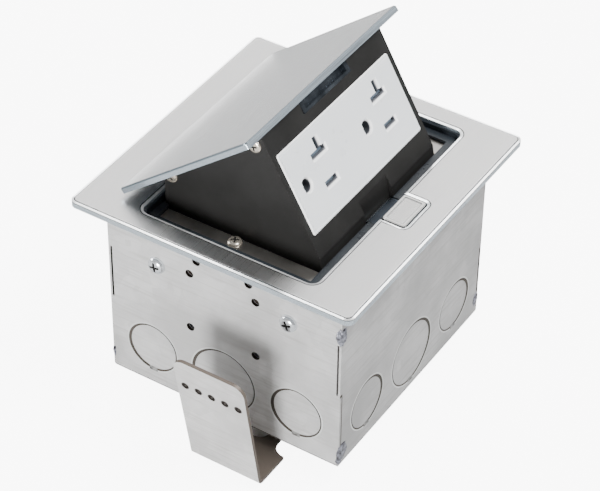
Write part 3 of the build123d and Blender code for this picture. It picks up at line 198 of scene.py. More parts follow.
def spangle_group():
    """Zinc crystals: faint cells of differing tone, with a cloudy film over them."""
    group, start, end = new_group(
        "spangle",
        [("Scale", "Float", 220.0), ("Depth", "Float", 0.05)],
        [("Cell", "Float"), ("Film", "Float"), ("Streak", "Float"), ("Normal", "Vector")],
    )
    place = add_node(group, "TexCoord")
    cells = add_node(group, "TexVoronoi", feature="F1")
    group.links.new(place.outputs["Object"], cells.inputs["Vector"])
    group.links.new(start.outputs["Scale"], cells.inputs["Scale"])
    tone = add_node(group, "SeparateColor")
    group.links.new(cells.outputs["Color"], tone.inputs[0])
    film = add_node(group, "TexNoise")
    film.inputs["Scale"].default_value = 35.0
    film.inputs["Detail"].default_value = 5.0
    group.links.new(place.outputs["Object"], film.inputs["Vector"])
    rolled = add_node(group, "VectorMath", operation="MULTIPLY")
    rolled.inputs[1].default_value = (45, 45, 900)
    group.links.new(place.outputs["Object"], rolled.inputs[0])
    streak = add_node(group, "TexNoise")
    streak.inputs["Scale"].default_value = 1.0
    streak.inputs["Detail"].default_value = 4.0
    group.links.new(rolled.outputs[0], streak.inputs["Vector"])
    group.links.new(streak.outputs[0], end.inputs["Streak"])
    grit = add_node(group, "TexNoise")
    grit.inputs["Scale"].default_value = 1500.0
    grit.inputs["Detail"].default_value = 2.0
    group.links.new(place.outputs["Object"], grit.inputs["Vector"])
    bump = add_node(group, "Bump")
    bump.inputs["Distance"].default_value = 0.0001
    group.links.new(start.outputs["Depth"], bump.inputs["Strength"])
    group.links.new(grit.outputs[0], bump.inputs["Height"])
    group.links.new(tone.outputs[0], end.inputs["Cell"])
    group.links.new(film.outputs[0], end.inputs["Film"])
    group.links.new(bump.outputs[0], end.inputs["Normal"])
    return group


def frame_line_group():
    """How far a point is from a rounded rectangle drawn in x and along Across: below 0 inside, in metres."""
    group, start, end = new_group(
        "frame_line",
        [
            ("Across", "Vector", (0, 1, 0)),
            ("Centre", "Vector", (0, 0, 0)),
            ("Half Size", "Vector", (0.05, 0.05, 0)),
            ("Radius", "Float", 0.003),
        ],
        [("Distance", "Float")],
    )
    place = add_node(group, "TexCoord")
    along = add_node(group, "SeparateXYZ")
    group.links.new(place.outputs["Object"], along.inputs[0])
    across = add_node(group, "VectorMath", operation="DOT_PRODUCT")
    group.links.new(place.outputs["Object"], across.inputs[0])
    group.links.new(start.outputs["Across"], across.inputs[1])
    drawn = add_node(group, "CombineXYZ")
    group.links.new(along.outputs[0], drawn.inputs[0])
    group.links.new(across.outputs["Value"], drawn.inputs[1])
    moved = add_node(group, "VectorMath", operation="SUBTRACT")
    group.links.new(drawn.outputs[0], moved.inputs[0])
    group.links.new(start.outputs["Centre"], moved.inputs[1])
    folded = add_node(group, "VectorMath", operation="ABSOLUTE")
    group.links.new(moved.outputs[0], folded.inputs[0])
    beyond = add_node(group, "VectorMath", operation="SUBTRACT")
    group.links.new(folded.outputs[0], beyond.inputs[0])
    group.links.new(start.outputs["Half Size"], beyond.inputs[1])
    parts = add_node(group, "SeparateXYZ")
    group.links.new(beyond.outputs[0], parts.inputs[0])
    over_x = math_node(group, "ADD", parts.outputs[0], start.outputs["Radius"])
    over_y = math_node(group, "ADD", parts.outputs[1], start.outputs["Radius"])
    outside_x = math_node(group, "MAXIMUM", over_x, 0.0)
    outside_y = math_node(group, "MAXIMUM", over_y, 0.0)
    square_x = math_node(group, "MULTIPLY", outside_x, outside_x)
    square_y = math_node(group, "MULTIPLY", outside_y, outside_y)
    corner = math_node(group, "SQRT", math_node(group, "ADD", square_x, square_y))
    inner = math_node(group, "MINIMUM", math_node(group, "MAXIMUM", over_x, over_y), 0.0)
    total = math_node(group, "SUBTRACT", math_node(group, "ADD", corner, inner), start.outputs["Radius"])
    group.links.new(total, end.inputs["Distance"])
    return group


def recess_group():
    """1 inside the thickness of the box's walls, such as in grooves and punched holes, else 0."""
    group, start, end = new_group(
        "recess",
        [("Half Length", "Float", BOX_HALF_LENGTH * MM), ("Half Width", "Float", BOX_HALF_WIDTH * MM)],
        [("Mask", "Float")],
    )
    skin, wall, square = 0.1 * MM, 1.3 * MM, 0.9
    place = add_node(group, "TexCoord")
    masks = []
    for axis, label in ((0, "Half Length"), (1, "Half Width")):
        spot = add_node(group, "SeparateXYZ")
        group.links.new(place.outputs["Object"], spot.inputs[0])
        turn = add_node(group, "SeparateXYZ")
        group.links.new(place.outputs["Normal"], turn.inputs[0])
        outward = math_node(group, "ABSOLUTE", spot.outputs[axis])
        across = math_node(group, "ABSOLUTE", spot.outputs[1 - axis])
        facing_out = math_node(group, "ABSOLUTE", turn.outputs[axis])
        depth = math_node(group, "SUBTRACT", start.outputs[label], outward)
        sunk = math_node(group, "GREATER_THAN", depth, skin)
        shallow = math_node(group, "LESS_THAN", depth, wall)
        square_on = math_node(group, "GREATER_THAN", facing_out, square)
        off_corner = math_node(group, "LESS_THAN", across, BOX_CORNER * MM)
        above_floor = math_node(group, "GREATER_THAN", spot.outputs[2], BOX_FLOOR * MM)
        in_hole = math_node(group, "MULTIPLY", off_corner, above_floor)
        cut = math_node(group, "MAXIMUM", square_on, in_hole)
        masks.append(math_node(group, "MULTIPLY", math_node(group, "MULTIPLY", sunk, shallow), cut))
    group.links.new(math_node(group, "MAXIMUM", masks[0], masks[1]), end.inputs["Mask"])
    return group


def plane_depth_group():
    """How far a point lies behind a plane, given by its direction and its offset, in metres."""
    group, start, end = new_group(
        "plane_depth", [("Direction", "Vector", (0, 0, 1)), ("Offset", "Float", 0.0)], [("Depth", "Float")]
    )
    place = add_node(group, "TexCoord")
    dot = add_node(group, "VectorMath", operation="DOT_PRODUCT")
    group.links.new(place.outputs["Object"], dot.inputs[0])
    group.links.new(start.outputs["Direction"], dot.inputs[1])
    behind = math_node(group, "SUBTRACT", start.outputs["Offset"], dot.outputs["Value"])
    group.links.new(behind, end.inputs["Depth"])
    return group


def hole_row_group():
    """How far a point on a clamp clip is from the centre of the nearest hole in its row, in metres."""
    group, start, end = new_group(
        "hole_row",
        [("Start", "Float", 0.0), ("Pitch", "Float", CLIP_HOLE_PITCH * MM), ("Height", "Float", 0.0)],
        [("Distance", "Float")],
    )
    place = add_node(group, "TexCoord")
    spot = add_node(group, "SeparateXYZ")
    group.links.new(place.outputs["Object"], spot.inputs[0])
    along = math_node(group, "SUBTRACT", spot.outputs[1], start.outputs["Start"])
    half_pitch = math_node(group, "MULTIPLY", start.outputs["Pitch"], 0.5)
    nearest = math_node(group, "PINGPONG", along, half_pitch)
    upward = math_node(group, "SUBTRACT", spot.outputs[2], start.outputs["Height"])
    flat = math_node(group, "MULTIPLY", nearest, nearest)
    tall = math_node(group, "MULTIPLY", upward, upward)
    group.links.new(math_node(group, "SQRT", math_node(group, "ADD", flat, tall)), end.inputs["Distance"])
    return group


brushing = brushing_group()
hole_row = hole_row_group()
plane_depth = plane_depth_group()
frame_line = frame_line_group()
recess = recess_group()
facing = facing_group()
speckle = speckle_group()
spangle = spangle_group()


def place_group(tree, group, **inputs):
    """Places a shared effect in a material, with its own values."""
    node = tree.nodes.new("ShaderNodeGroup")
    node.node_tree = group
    for label, value in inputs.items():
        node.inputs[label.replace("_", " ")].default_value = value
    return node


def new_material(name, metallic=0.0, roughness=0.5, **settings):
    """A material with its Principled shader set to plain values; returns material, tree, shader."""
    material = bpy.data.materials.new(name)
    material.use_nodes = True
    tree = material.node_tree
    shader = tree.nodes["Principled BSDF"]
    shader.inputs["Metallic"].default_value = metallic
    shader.inputs["Roughness"].default_value = roughness
    for label, value in settings.items():
        shader.inputs[label.replace("_", " ")].default_value = value
    return material, tree, shader


def grey(level, warmth=0.0):
    """A grey of a given level, a little warm above 0 and a little cold below."""
    return (level * (1 + warmth), level, level * (1 - warmth), 1)


# Materials


def band(tree, value, low, high, soft=0.00006):
    """1 where a distance lies between low and high, with a soft edge."""
    rising = remap(tree, value, low - soft, low + soft)
    falling = remap(tree, value, high - soft, high + soft, 1.0, 0.0)
    return math_node(tree, "MULTIPLY", rising, falling)


def brushed_steel(name, stretch, direction, tone, bevel, side, marks, warmth=0.01, roughness=0.24):
    """Brushed sheet on its face, polished on its bevels and sides; the bevel colour is painted reflection, a
    white highlight on trim and button and a dark band on the lid; marks draws the bevels and the painted dark
    hairlines.
    """
    material, tree, shader = new_material(name, metallic=1.0, roughness=roughness)
    grain = place_group(tree, brushing, Stretch=stretch, Depth=0.006)
    face = place_group(tree, facing, Direction=direction)
    streaked = colour_mix(
        tree,
        remap(tree, grain.outputs["Shade"], 0.3, 0.7),
        grey(tone * 0.96, warmth),
        grey(tone * 1.04, warmth),
    )
    clouded = colour_mix(
        tree, remap(tree, grain.outputs["Cloud"], 0.3, 0.7, 0, 0.2), streaked, grey(tone * 0.88, warmth)
    )
    rubbed = colour_mix(tree, remap(tree, grain.outputs["Shade"], 0.42, 0.6), grey(0.3, -0.12), side)
    edge = colour_mix(tree, remap(tree, face.outputs["Value"], 0.1, 0.2), rubbed, bevel)
    polish_and_reflection, reflection_line = marks(tree, face.outputs["Value"])
    colour = colour_mix(tree, polish_and_reflection, clouded, edge)
    colour = colour_mix(tree, reflection_line, colour, REFLECTION_LINE_DARK)
    tree.links.new(colour, shader.inputs["Base Color"])
    tree.links.new(remap(tree, polish_and_reflection, 0.0, 1.0, 1.0, 0.7), shader.inputs["Metallic"])
    rough = remap(tree, grain.outputs["Shade"], 0.3, 0.7, roughness - 0.04, roughness + 0.05)
    smoother = add_node(tree, "Mix", data_type="FLOAT")
    tree.links.new(polish_and_reflection, smoother.inputs[0])
    tree.links.new(rough, smoother.inputs[2])
    smoother.inputs[3].default_value = 0.15
    tree.links.new(smoother.outputs[0], shader.inputs["Roughness"])
    tree.links.new(grain.outputs["Normal"], shader.inputs["Normal"])
    return material


def trim_marks(tree, facing_up):
    """The polished strip along the rim and round the opening, painted white as a highlight, with the dark
    hairline of painted reflection inside each.
    """
    rim = place_group(tree, frame_line, Half_Size=(0.062, 0.0603, 0), Radius=0.003)
    opening = place_group(
        tree,
        frame_line,
        Centre=(0, -0.0023, 0),
        Half_Size=(0.0524, 0.0376, 0),
        Radius=0.0035,
    )
    notch = place_group(tree, frame_line, Centre=(0, -0.0431, 0), Half_Size=(0.0087, 0.0072, 0), Radius=0.002)
    gap = math_node(tree, "MINIMUM", opening.outputs["Distance"], notch.outputs["Distance"])
    near_rim = remap(tree, rim.outputs["Distance"], -0.0009, -0.0008)
    near_gap = remap(tree, gap, 0.0009, 0.001, 1.0, 0.0)
    turned = remap(tree, facing_up, 0.8, 0.9, 1.0, 0.0)
    polish_and_reflection = math_node(tree, "MAXIMUM", math_node(tree, "MAXIMUM", near_rim, near_gap), turned)
    outer = band(tree, rim.outputs["Distance"], -0.0013, -0.0009)
    inner = band(tree, gap, 0.001, 0.0014)
    # A dark hairline of painted reflection round the rim's side, near its top
    height = add_node(tree, "SeparateXYZ")
    tree.links.new(add_node(tree, "TexCoord").outputs["Object"], height.inputs[0])
    under = band(tree, height.outputs[2], 0.0021, 0.0024)
    at_rim = remap(tree, rim.outputs["Distance"], -0.0004, -0.0003)
    below = math_node(tree, "MULTIPLY", under, at_rim)
    return polish_and_reflection, math_node(tree, "MAXIMUM", math_node(tree, "MAXIMUM", outer, inner), below)


def button_marks(tree, facing_up):
    """The button's raised border: a painted highlight at its inner edge, with a dark hairline of painted
    reflection beside it.
    """
    edge = place_group(tree, frame_line, Centre=(0, -0.0449, 0), Half_Size=(0.0081, 0.0048, 0), Radius=0.0014)
    rolled = band(tree, edge.outputs["Distance"], -0.00125, -0.0009)
    turned = remap(tree, facing_up, 0.9, 0.97, 1.0, 0.0)
    reflection_line = band(tree, edge.outputs["Distance"], -0.00155, -0.00135)
    softened = math_node(tree, "MULTIPLY", reflection_line, 0.45)
    return math_node(tree, "MAXIMUM", rolled, turned), softened


def lid_marks(tree, facing_up):
    """The lid's rolled edge: bright on its sides, with a dark line of painted reflection just inside the flat
    and one lower down.
    """
    edge = place_group(
        tree,
        frame_line,
        Across=LID_ALONG,
        Centre=(0, LID_CENTRE, 0),
        Half_Size=(0.0501, 0.0358, 0),
        Radius=0.0015,
    )
    turned = remap(tree, facing_up, 0.85, 0.95, 1.0, 0.0)
    drawn = band(tree, edge.outputs["Distance"], -0.0011, -0.0007)
    on_top = remap(tree, facing_up, 0.6, 0.7)
    return turned, math_node(tree, "MULTIPLY", drawn, on_top)


def galvanised(
    name, tone, roughness=0.5, warmth=0.006, scale=220.0, outward=None, hole_start=0.0, folded=False
):
    """Zinc-coated sheet; a clip has painted shade on all but its outward face and round its holes, a folded
    box has painted shade in its grooves and on its long walls.
    """
    material, tree, shader = new_material(name, metallic=0.3, roughness=roughness)
    zinc = place_group(tree, spangle, Scale=scale, Depth=0.08)
    cells = colour_mix(tree, zinc.outputs["Cell"], grey(tone * 0.93, warmth), grey(tone * 1.07, warmth))
    filmed = colour_mix(
        tree, remap(tree, zinc.outputs["Film"], 0.38, 0.64, 0, 0.9), cells, grey(tone * 0.72, warmth)
    )
    colour = colour_mix(
        tree, remap(tree, zinc.outputs["Streak"], 0.5, 0.75, 0, 0.7), filmed, grey(tone * 0.66, warmth + 0.02)
    )
    if folded:
        # Painted shade: the long ±Y walls are darkened
        across = place_group(tree, facing, Direction=(0, 1, 0))
        long_wall_shade = remap(tree, math_node(tree, "ABSOLUTE", across.outputs["Value"]), 0.6, 0.9)
        colour = colour_mix(tree, long_wall_shade, colour, grey(0.8, -0.004), blend="MULTIPLY")
        # Painted shade inside the thickness of the walls, in grooves and punched holes
        groove_shade = place_group(tree, recess)
        colour = colour_mix(tree, groove_shade.outputs["Mask"], colour, GROOVE_SHADE_BROWN)
    if outward:
        # Painted shade on every face of the clip but its outward one
        turned = place_group(tree, facing, Direction=outward)
        colour = colour_mix(tree, remap(tree, turned.outputs["Value"], 0.4, 0.8), CLIP_SHADE_BROWN, colour)
        # A ring of painted shade round each hole makes it read larger and darker
        holes = place_group(tree, hole_row, Start=hole_start, Height=CLIP_HOLE_Z * MM)
        rim = remap(tree, holes.outputs["Distance"], 0.00155, 0.00175)
        colour = colour_mix(tree, rim, HOLE_SHADE_BROWN, colour)
    tree.links.new(colour, shader.inputs["Base Color"])
    tree.links.new(
        remap(tree, zinc.outputs["Film"], 0.3, 0.7, roughness - 0.06, roughness + 0.08),
        shader.inputs["Roughness"],
    )
    tree.links.new(zinc.outputs["Normal"], shader.inputs["Normal"])
    return material


def nosed_steel(name, direction):
    """The bolt: dull dark steel with a painted highlight on its nose."""
    material, tree, shader = new_material(name, metallic=1.0, roughness=0.3)
    grain = place_group(tree, speckle, Grain_Scale=1800.0, Blotch_Scale=90.0, Depth=0.1)
    nose = place_group(tree, facing, Direction=direction)
    dull = colour_mix(tree, grain.outputs["Blotch"], (0.03, 0.036, 0.045, 1), (0.06, 0.07, 0.085, 1))
    nose_highlight = remap(tree, nose.outputs["Value"], 0.3, 0.6)
    tree.links.new(colour_mix(tree, nose_highlight, dull, (0.8, 0.86, 0.88, 1)), shader.inputs["Base Color"])
    tree.links.new(remap(tree, grain.outputs["Blotch"], 0.3, 0.7, 0.25, 0.4), shader.inputs["Roughness"])
    tree.links.new(grain.outputs["Normal"], shader.inputs["Normal"])
    return material


def coated(name, colour, light, roughness, blotch_scale=45.0, depth=0.25, metallic=0.0, **settings):
    """Paint, moulded plastic or plating: a fine grain, with a lighter or darker blotch here and there."""
    material, tree, shader = new_material(name, metallic=metallic, roughness=roughness, **settings)
    grain = place_group(tree, speckle, Grain_Scale=1800.0, Blotch_Scale=blotch_scale, Depth=depth)
    mixed = colour_mix(tree, remap(tree, grain.outputs["Blotch"], 0.35, 0.68), colour, light)
    fine = colour_mix(tree, remap(tree, grain.outputs["Grain"], 0.45, 0.75, 0, 0.3), mixed, light)
    tree.links.new(fine, shader.inputs["Base Color"])
    tree.links.new(
        remap(tree, grain.outputs["Blotch"], 0.3, 0.7, roughness * 0.9, roughness * 1.15),
        shader.inputs["Roughness"],
    )
    tree.links.new(grain.outputs["Normal"], shader.inputs["Normal"])
    return material


ALONG_X = (30, 9000, 9000)
UPWARD = (0, 0, 1)
LID_UP = (0, sin(OPEN_TURN), cos(OPEN_TURN))
LID_ALONG = (0, cos(OPEN_TURN), -sin(OPEN_TURN))
LID_CENTRE = (LID_MID_U + PIVOT_Y * cos(OPEN_TURN) - PIVOT_Z * sin(OPEN_TURN)) * MM
# Dark hairlines of painted reflection along the steel's bevels
REFLECTION_LINE_DARK = (0.03, 0.033, 0.037, 1)
# Painted shade on a clip's inner face and cut edges
CLIP_SHADE_BROWN = (0.11, 0.09, 0.074, 1)
# Painted shade for the box's grooves and holes
GROOVE_SHADE_BROWN = (0.022, 0.016, 0.012, 1)
# Painted shade round a clip's holes
HOLE_SHADE_BROWN = (0.03, 0.024, 0.02, 1)
# Painted shade deep in the receptacle's slots
SLOT_SHADE_BLUE = (0.07, 0.075, 0.085, 1)

# The trim's and button's bevel colour is a painted highlight
BEVEL_HIGHLIGHT_WHITE = (0.96, 0.97, 0.98, 1)
SIDE_BLUE = (0.72, 0.82, 0.88, 1)

trim_steel = brushed_steel(
    "trim_steel", ALONG_X, UPWARD, 0.69, BEVEL_HIGHLIGHT_WHITE, SIDE_BLUE, roughness=0.3, marks=trim_marks
)
lid_steel = brushed_steel(
    "lid_steel",
    ALONG_X,
    LID_UP,
    0.74,
    # Painted reflection: the lid's dark bevel colour
    (0.2, 0.24, 0.27, 1),
    (0.64, 0.74, 0.82, 1),
    warmth=-0.012,
    marks=lid_marks,
)
button_steel = brushed_steel(
    "button_steel",
    ALONG_X,
    UPWARD,
    0.69,
    (0.95, 0.93, 0.9, 1),
    (0.3, 0.28, 0.26, 1),
    warmth=0.02,
    marks=button_marks,
)
rail_steel = coated(
    "rail_steel",
    (0.4, 0.385, 0.36, 1),
    (0.5, 0.48, 0.45, 1),
    0.34,
    blotch_scale=60.0,
    depth=0.03,
    metallic=1.0,
)
box_zinc = galvanised("box_zinc", 0.585, folded=True)
clamp_left_zinc, clamp_right_zinc = (
    galvanised(
        name, 0.66, warmth=0.012, scale=160.0, outward=(side, 0, 0), hole_start=side * CLIP_Y * MM
    )
    for name, side in (("clamp_left_zinc", -1), ("clamp_right_zinc", 1))
)
case_zinc = galvanised("case_zinc", 0.5, roughness=0.4)
tie_zinc = coated(
    "tie_zinc", (0.05, 0.047, 0.043, 1), (0.34, 0.34, 0.33, 1), 0.5, blotch_scale=500.0, metallic=0.3
)
bracket_dark = coated(
    "bracket_dark", (0.012, 0.0075, 0.006, 1), (0.02, 0.013, 0.01, 1), 0.6, Specular_IOR_Level=0.2
)
black_coat = coated(
    "black_coat", (0.0095, 0.0093, 0.009, 1), (0.014, 0.0137, 0.0132, 1), 0.42, Specular_IOR_Level=0.28
)
liner_black = coated(
    "liner_black",
    (0.012, 0.015, 0.018, 1),
    (0.022, 0.027, 0.033, 1),
    0.28,
    depth=0.1,
    Specular_IOR_Level=0.35,
)
block_black = coated(
    "block_black", (0.012, 0.014, 0.016, 1), (0.028, 0.03, 0.036, 1), 0.35, Specular_IOR_Level=0.35
)
body_grey = coated("body_grey", (0.1, 0.11, 0.12, 1), (0.13, 0.14, 0.15, 1), 0.5)
shutter_blue = coated("shutter_blue", (0.1, 0.13, 0.17, 1), (0.14, 0.18, 0.23, 1), 0.45)
spring_steel = coated("spring_steel", (0.4, 0.42, 0.46, 1), (0.5, 0.52, 0.56, 1), 0.3, metallic=1.0)
keeper_steel = coated(
    "keeper_steel", (0.05, 0.06, 0.07, 1), (0.13, 0.15, 0.175, 1), 0.25, blotch_scale=160.0, metallic=0.9
)
bolt_steel = nosed_steel("bolt_steel", (0, 1, 0))
screw_nickel = coated(
    "screw_nickel", (0.6, 0.54, 0.45, 1), (0.75, 0.69, 0.6, 1), 0.22, metallic=0.8, depth=0.05
)
screw_zinc = coated(
    "screw_zinc", (0.62, 0.65, 0.68, 1), (0.78, 0.81, 0.84, 1), 0.2, metallic=0.8, depth=0.05
)
# Painted shade for the insides of the screws' cross recesses
recess_shade = coated("recess_shade", (0.03, 0.03, 0.03, 1), (0.08, 0.077, 0.072, 1), 0.5, metallic=0.5)
weld_grey = coated(
    "weld_grey", (0.02, 0.018, 0.02, 1), (0.33, 0.34, 0.4, 1), 0.4, blotch_scale=600.0, metallic=0.4, depth=0.6
)
# Painted shade for the knockout gaps and the corner lap lines
gap_shade = coated("gap_shade", (0.03, 0.024, 0.018, 1), (0.06, 0.048, 0.038, 1), 0.7)
# Painted highlight for the knockout lips
lip_highlight_zinc = coated("lip_highlight_zinc", (0.56, 0.57, 0.56, 1), (0.68, 0.69, 0.68, 1), 0.4, metallic=0.2)
contact_brass = coated("contact_brass", (0.6, 0.4, 0.14, 1), (0.7, 0.5, 0.22, 1), 0.3, metallic=1.0)
ground_green = coated("ground_green", (0.02, 0.14, 0.05, 1), (0.04, 0.22, 0.08, 1), 0.35, metallic=0.7)

# The receptacle's face and the slots of each outlet on it, in mm along the face and up it
FACE_UP = (0, 0.4939, 0.8695)
FACE_OUT = (0, -0.8695, 0.4939)
FACE_OFFSET = 30.94
FACE_CENTRE = (0, -21.89, 24.11)
OUTLETS = (-19.2, 21.1)
SLOT_WIDE = 2.5
T_SLOT_LONG = 9.2
PLAIN_SLOT_LONG = 7.7
SLOT_SHIFT = 1.9
T_SLOT_UP = 6.6
PLAIN_SLOT_UP = -5.2
STROKE_X = 2.6
STROKE_WIDE = 2.5
STROKE_LONG = 5.7
GROUND_X = -10.4
GROUND_RADIUS = 2.3
GROUND_FLAT = 2.2
SLOT_DEPTH = 1.1
GROUND_DEPTH = 1.2


def moulded_face(name):
    """White moulded face; painted shade turns it blue-grey deep in its slots, and a painted highlight whitens
    the faces turned away from its front.
    """
    white = (0.74, 0.765, 0.785, 1)
    white_spot = (0.77, 0.795, 0.815, 1)
    material, tree, shader = new_material(name, roughness=0.3)
    grain = place_group(tree, speckle, Grain_Scale=1800.0, Blotch_Scale=45.0, Depth=0.05)
    depth = place_group(tree, plane_depth, Direction=FACE_OUT, Offset=FACE_OFFSET * MM)
    mottled = colour_mix(tree, remap(tree, grain.outputs["Blotch"], 0.35, 0.68), white, white_spot)
    squarely = place_group(tree, facing, Direction=FACE_OUT)
    # A painted highlight on the faces turned away from the front, such as the lead-ins
    lead_in_highlight = colour_mix(
        tree, remap(tree, squarely.outputs["Value"], 0.94, 0.985), (0.97, 0.97, 0.97, 1), mottled
    )
    # Painted shade below 0.7 mm deep
    sunk = remap(tree, depth.outputs["Depth"], 0.0007, 0.00105)
    colour = colour_mix(tree, sunk, lead_in_highlight, SLOT_SHADE_BLUE)
    tree.links.new(colour, shader.inputs["Base Color"])
    tree.links.new(remap(tree, grain.outputs["Blotch"], 0.3, 0.7, 0.26, 0.34), shader.inputs["Roughness"])
    tree.links.new(grain.outputs["Normal"], shader.inputs["Normal"])
    return material


face_white = moulded_face("face_white")

FINISHES = {
    "trim_frame": trim_steel,
    "lid": lid_steel,
    "button": button_steel,
    "steel_box": box_zinc,
    "counter_clamp_left": clamp_left_zinc,
    "counter_clamp_right": clamp_right_zinc,
    "clamp_spacers": case_zinc,
    "rail_left": rail_steel,
    "rail_right": rail_steel,
    "box_bracket_left": bracket_dark,
    "box_bracket_right": bracket_dark,
    "latch_case": case_zinc,
    "receptacle_strap": case_zinc,
    "popup_housing": black_coat,
    "opening_liner": liner_black,
    "hinge_block_left": block_black,
    "hinge_block_right": block_black,
    "receptacle_face": face_white,
    "receptacle_body": body_grey,
    "shutter_left": shutter_blue,
    "shutter_right": shutter_blue,
    "latch_bolt": bolt_steel,
    "latch_keeper": keeper_steel,
    "pivot_pin_left": spring_steel,
    "pivot_pin_right": spring_steel,
    "retaining_rings": spring_steel,
    "stop_pins": spring_steel,
    "hinge_spring_left": spring_steel,
    "hinge_spring_right": spring_steel,
    "latch_springs": spring_steel,
    "button_spring": spring_steel,
    "ledge_screws": screw_nickel,
    "box_screws": screw_zinc,
    "hinge_block_screws": screw_nickel,
    "lid_screws": screw_nickel,
    "clamp_screws": screw_zinc,
    "clamp_nuts": screw_nickel,
    "line_contacts": contact_brass,
    "terminal_screws": contact_brass,
    "box_ground_screw": ground_green,
}


def finish_node(name, material):
    """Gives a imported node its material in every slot."""
    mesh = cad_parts[name].data
    mesh.materials.clear()
    mesh.materials.append(material)


for node_name, finish in FINISHES.items():
    finish_node(node_name, finish)


# Small pieces


def add_piece(name, bm, materials, body, crease=35):
    """Turns a bmesh into a piece that rides on a body, smooth where it turns by less than the crease."""
    mesh = bpy.data.meshes.new(name)
    bm.to_mesh(mesh)
    bm.free()
    for material in materials:
        mesh.materials.append(material)
    mesh.shade_smooth()
    mesh.set_sharp_from_angle(angle=radians(crease))
    piece = bpy.data.objects.new(name, mesh)
    bpy.context.scene.collection.objects.link(piece)
    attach(piece, body)
    return piece


def bare_object(name, bm, materials=()):
    """Turns a bmesh into an object that only helps to shape a piece."""
    mesh = bpy.data.meshes.new(name)
    bm.to_mesh(mesh)
    bm.free()
    for material in materials:
        mesh.materials.append(material)
    helper = bpy.data.objects.new(name, mesh)
    bpy.context.scene.collection.objects.link(helper)
    return helper


def cut_away(blank, cutters):
    """The blank's mesh with the cutters taken out of it; all the helpers are removed."""
    for cutter in cutters:
        modifier = blank.modifiers.new("cut", "BOOLEAN")
        modifier.operation = "DIFFERENCE"
        modifier.solver = "EXACT"
        modifier.object = cutter
    depsgraph = bpy.context.evaluated_depsgraph_get()
    finished = bpy.data.meshes.new_from_object(blank.evaluated_get(depsgraph))
    for helper in cutters + [blank]:
        bpy.data.objects.remove(helper)
    return finished


def screw_mesh(head_radius, head_height, shank_radius, shank_length, turn):
    """A cross-recess pan head seated on z = 0 with its shank below, as a mesh in metres."""
    outline = (
        (0, head_height),
        (0.45 * head_radius, 0.98 * head_height),
        (0.75 * head_radius, 0.84 * head_height),
        (0.94 * head_radius, 0.55 * head_height),
        (head_radius, 0.22 * head_height),
        (head_radius, 0),
        (shank_radius, 0),
        (shank_radius, -shank_length + 0.4 * shank_radius),
        (0.6 * shank_radius, -shank_length),
        (0, -shank_length),
    )
    bm = bmesh.new()
    corners = [bm.verts.new((radius * MM, 0, height * MM)) for radius, height in outline]
    edges = [bm.edges.new(pair) for pair in zip(corners, corners[1:])]
    bmesh.ops.spin(
        bm, geom=corners + edges, axis=(0, 0, 1), cent=(0, 0, 0), steps=40, angle=2 * pi, use_merge=True
    )
    bmesh.ops.remove_doubles(bm, verts=bm.verts, dist=0.000002)
    bmesh.ops.recalc_face_normals(bm, faces=bm.faces)
    # The cross recess takes the second material, a painted shade
    slots = (screw_nickel, recess_shade)
    blank = bare_object("screw_blank", bm, slots)
    cross_arm = (1.44 * head_radius * MM, 0.32 * head_radius * MM, 1.3 * head_height * MM)
    cutters = []
    for quarter in (0, 1):
        cut = bmesh.new()
        bmesh.ops.create_cube(cut, size=1.0)
        bmesh.ops.scale(cut, verts=cut.verts, vec=cross_arm)
        floor_verts = [vert for vert in cut.verts if vert.co.z < 0]
        bmesh.ops.scale(cut, verts=floor_verts, vec=(0.6, 0.6, 1))
        for cut_face in cut.faces:
            cut_face.material_index = 1
        bmesh.ops.rotate(cut, verts=cut.verts, matrix=Matrix.Rotation(turn + quarter * pi / 2, 3, "Z"))
        bmesh.ops.translate(cut, verts=cut.verts, vec=(0, 0, 0.95 * head_height * MM))
        cutters.append(bare_object("screw_cutter", cut, slots))
    return cut_away(blank, cutters)


def add_screws(node, material, body, sizes, seats):
    """Cross-recess screws in place of a node's plain ones; seats are (place, direction, turn) in mm."""
    bm = bmesh.new()
    for place, direction, turn in seats:
        start = len(bm.verts)
        bm.from_mesh(screw_mesh(*sizes, turn))
        bm.verts.ensure_lookup_table()
        aim = Vector(direction).to_track_quat("Z", "Y").to_matrix().to_4x4()
        matrix = Matrix.Translation(Vector(place) * MM) @ aim
        bmesh.ops.transform(bm, matrix=matrix, verts=bm.verts[start:])
    piece = add_piece(node + "_cross", bm, [material, recess_shade], body)
    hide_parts(node)


def popup_point(x, u, v):
    """World place in mm of a point in the housing's closed frame, u back and v up from the pivot."""
    back = u * cos(OPEN_TURN) + v * sin(OPEN_TURN)
    up = v * cos(OPEN_TURN) - u * sin(OPEN_TURN)
    return (x, PIVOT_Y + back, PIVOT_Z + up)


add_screws(
    "ledge_screws",
    screw_nickel,
    "base",
    (2.75, 1.3, 1.5, 4.5),
    [((-43.3, 0, -2.5), (0, 0, 1), 0.5), ((43.3, 0, -2.5), (0, 0, 1), 0.2)],
)
add_screws(
    "box_screws",
    screw_zinc,
    "base",
    (3.6, 2.2, 1.9, 5.0),
    [
        ((side * BOX_HALF_LENGTH, end * BOX_SCREW_Y, BOX_SCREW_Z), (side, 0, 0), turn)
        for side, end, turn in ((-1, -1, 0.35), (-1, 1, 0.15), (1, -1, 0.6), (1, 1, 0.4))
    ],
)
add_screws(
    "lid_screws",
    screw_nickel,
    "popup",
    (2.75, 1.0, 1.5, 4.5),
    [
        (popup_point(side * 39.5, u, 11.9), (side, 0, 0), turn)
        for side, u, turn in ((-1, -72.7, 0.3), (-1, -26.2, 0.9), (1, -72.7, 0.5), (1, -26.2, 0.1))
    ],
)
add_screws(
    "clamp_screws",
    screw_zinc,
    "base",
    (3.6, 2.2, 1.9, 12.0),
    [((side * 45.5, side * CLIP_Y, -90.0), (0, 0, -1), turn) for side, turn in ((-1, 0.3), (1, 0.7))],
)


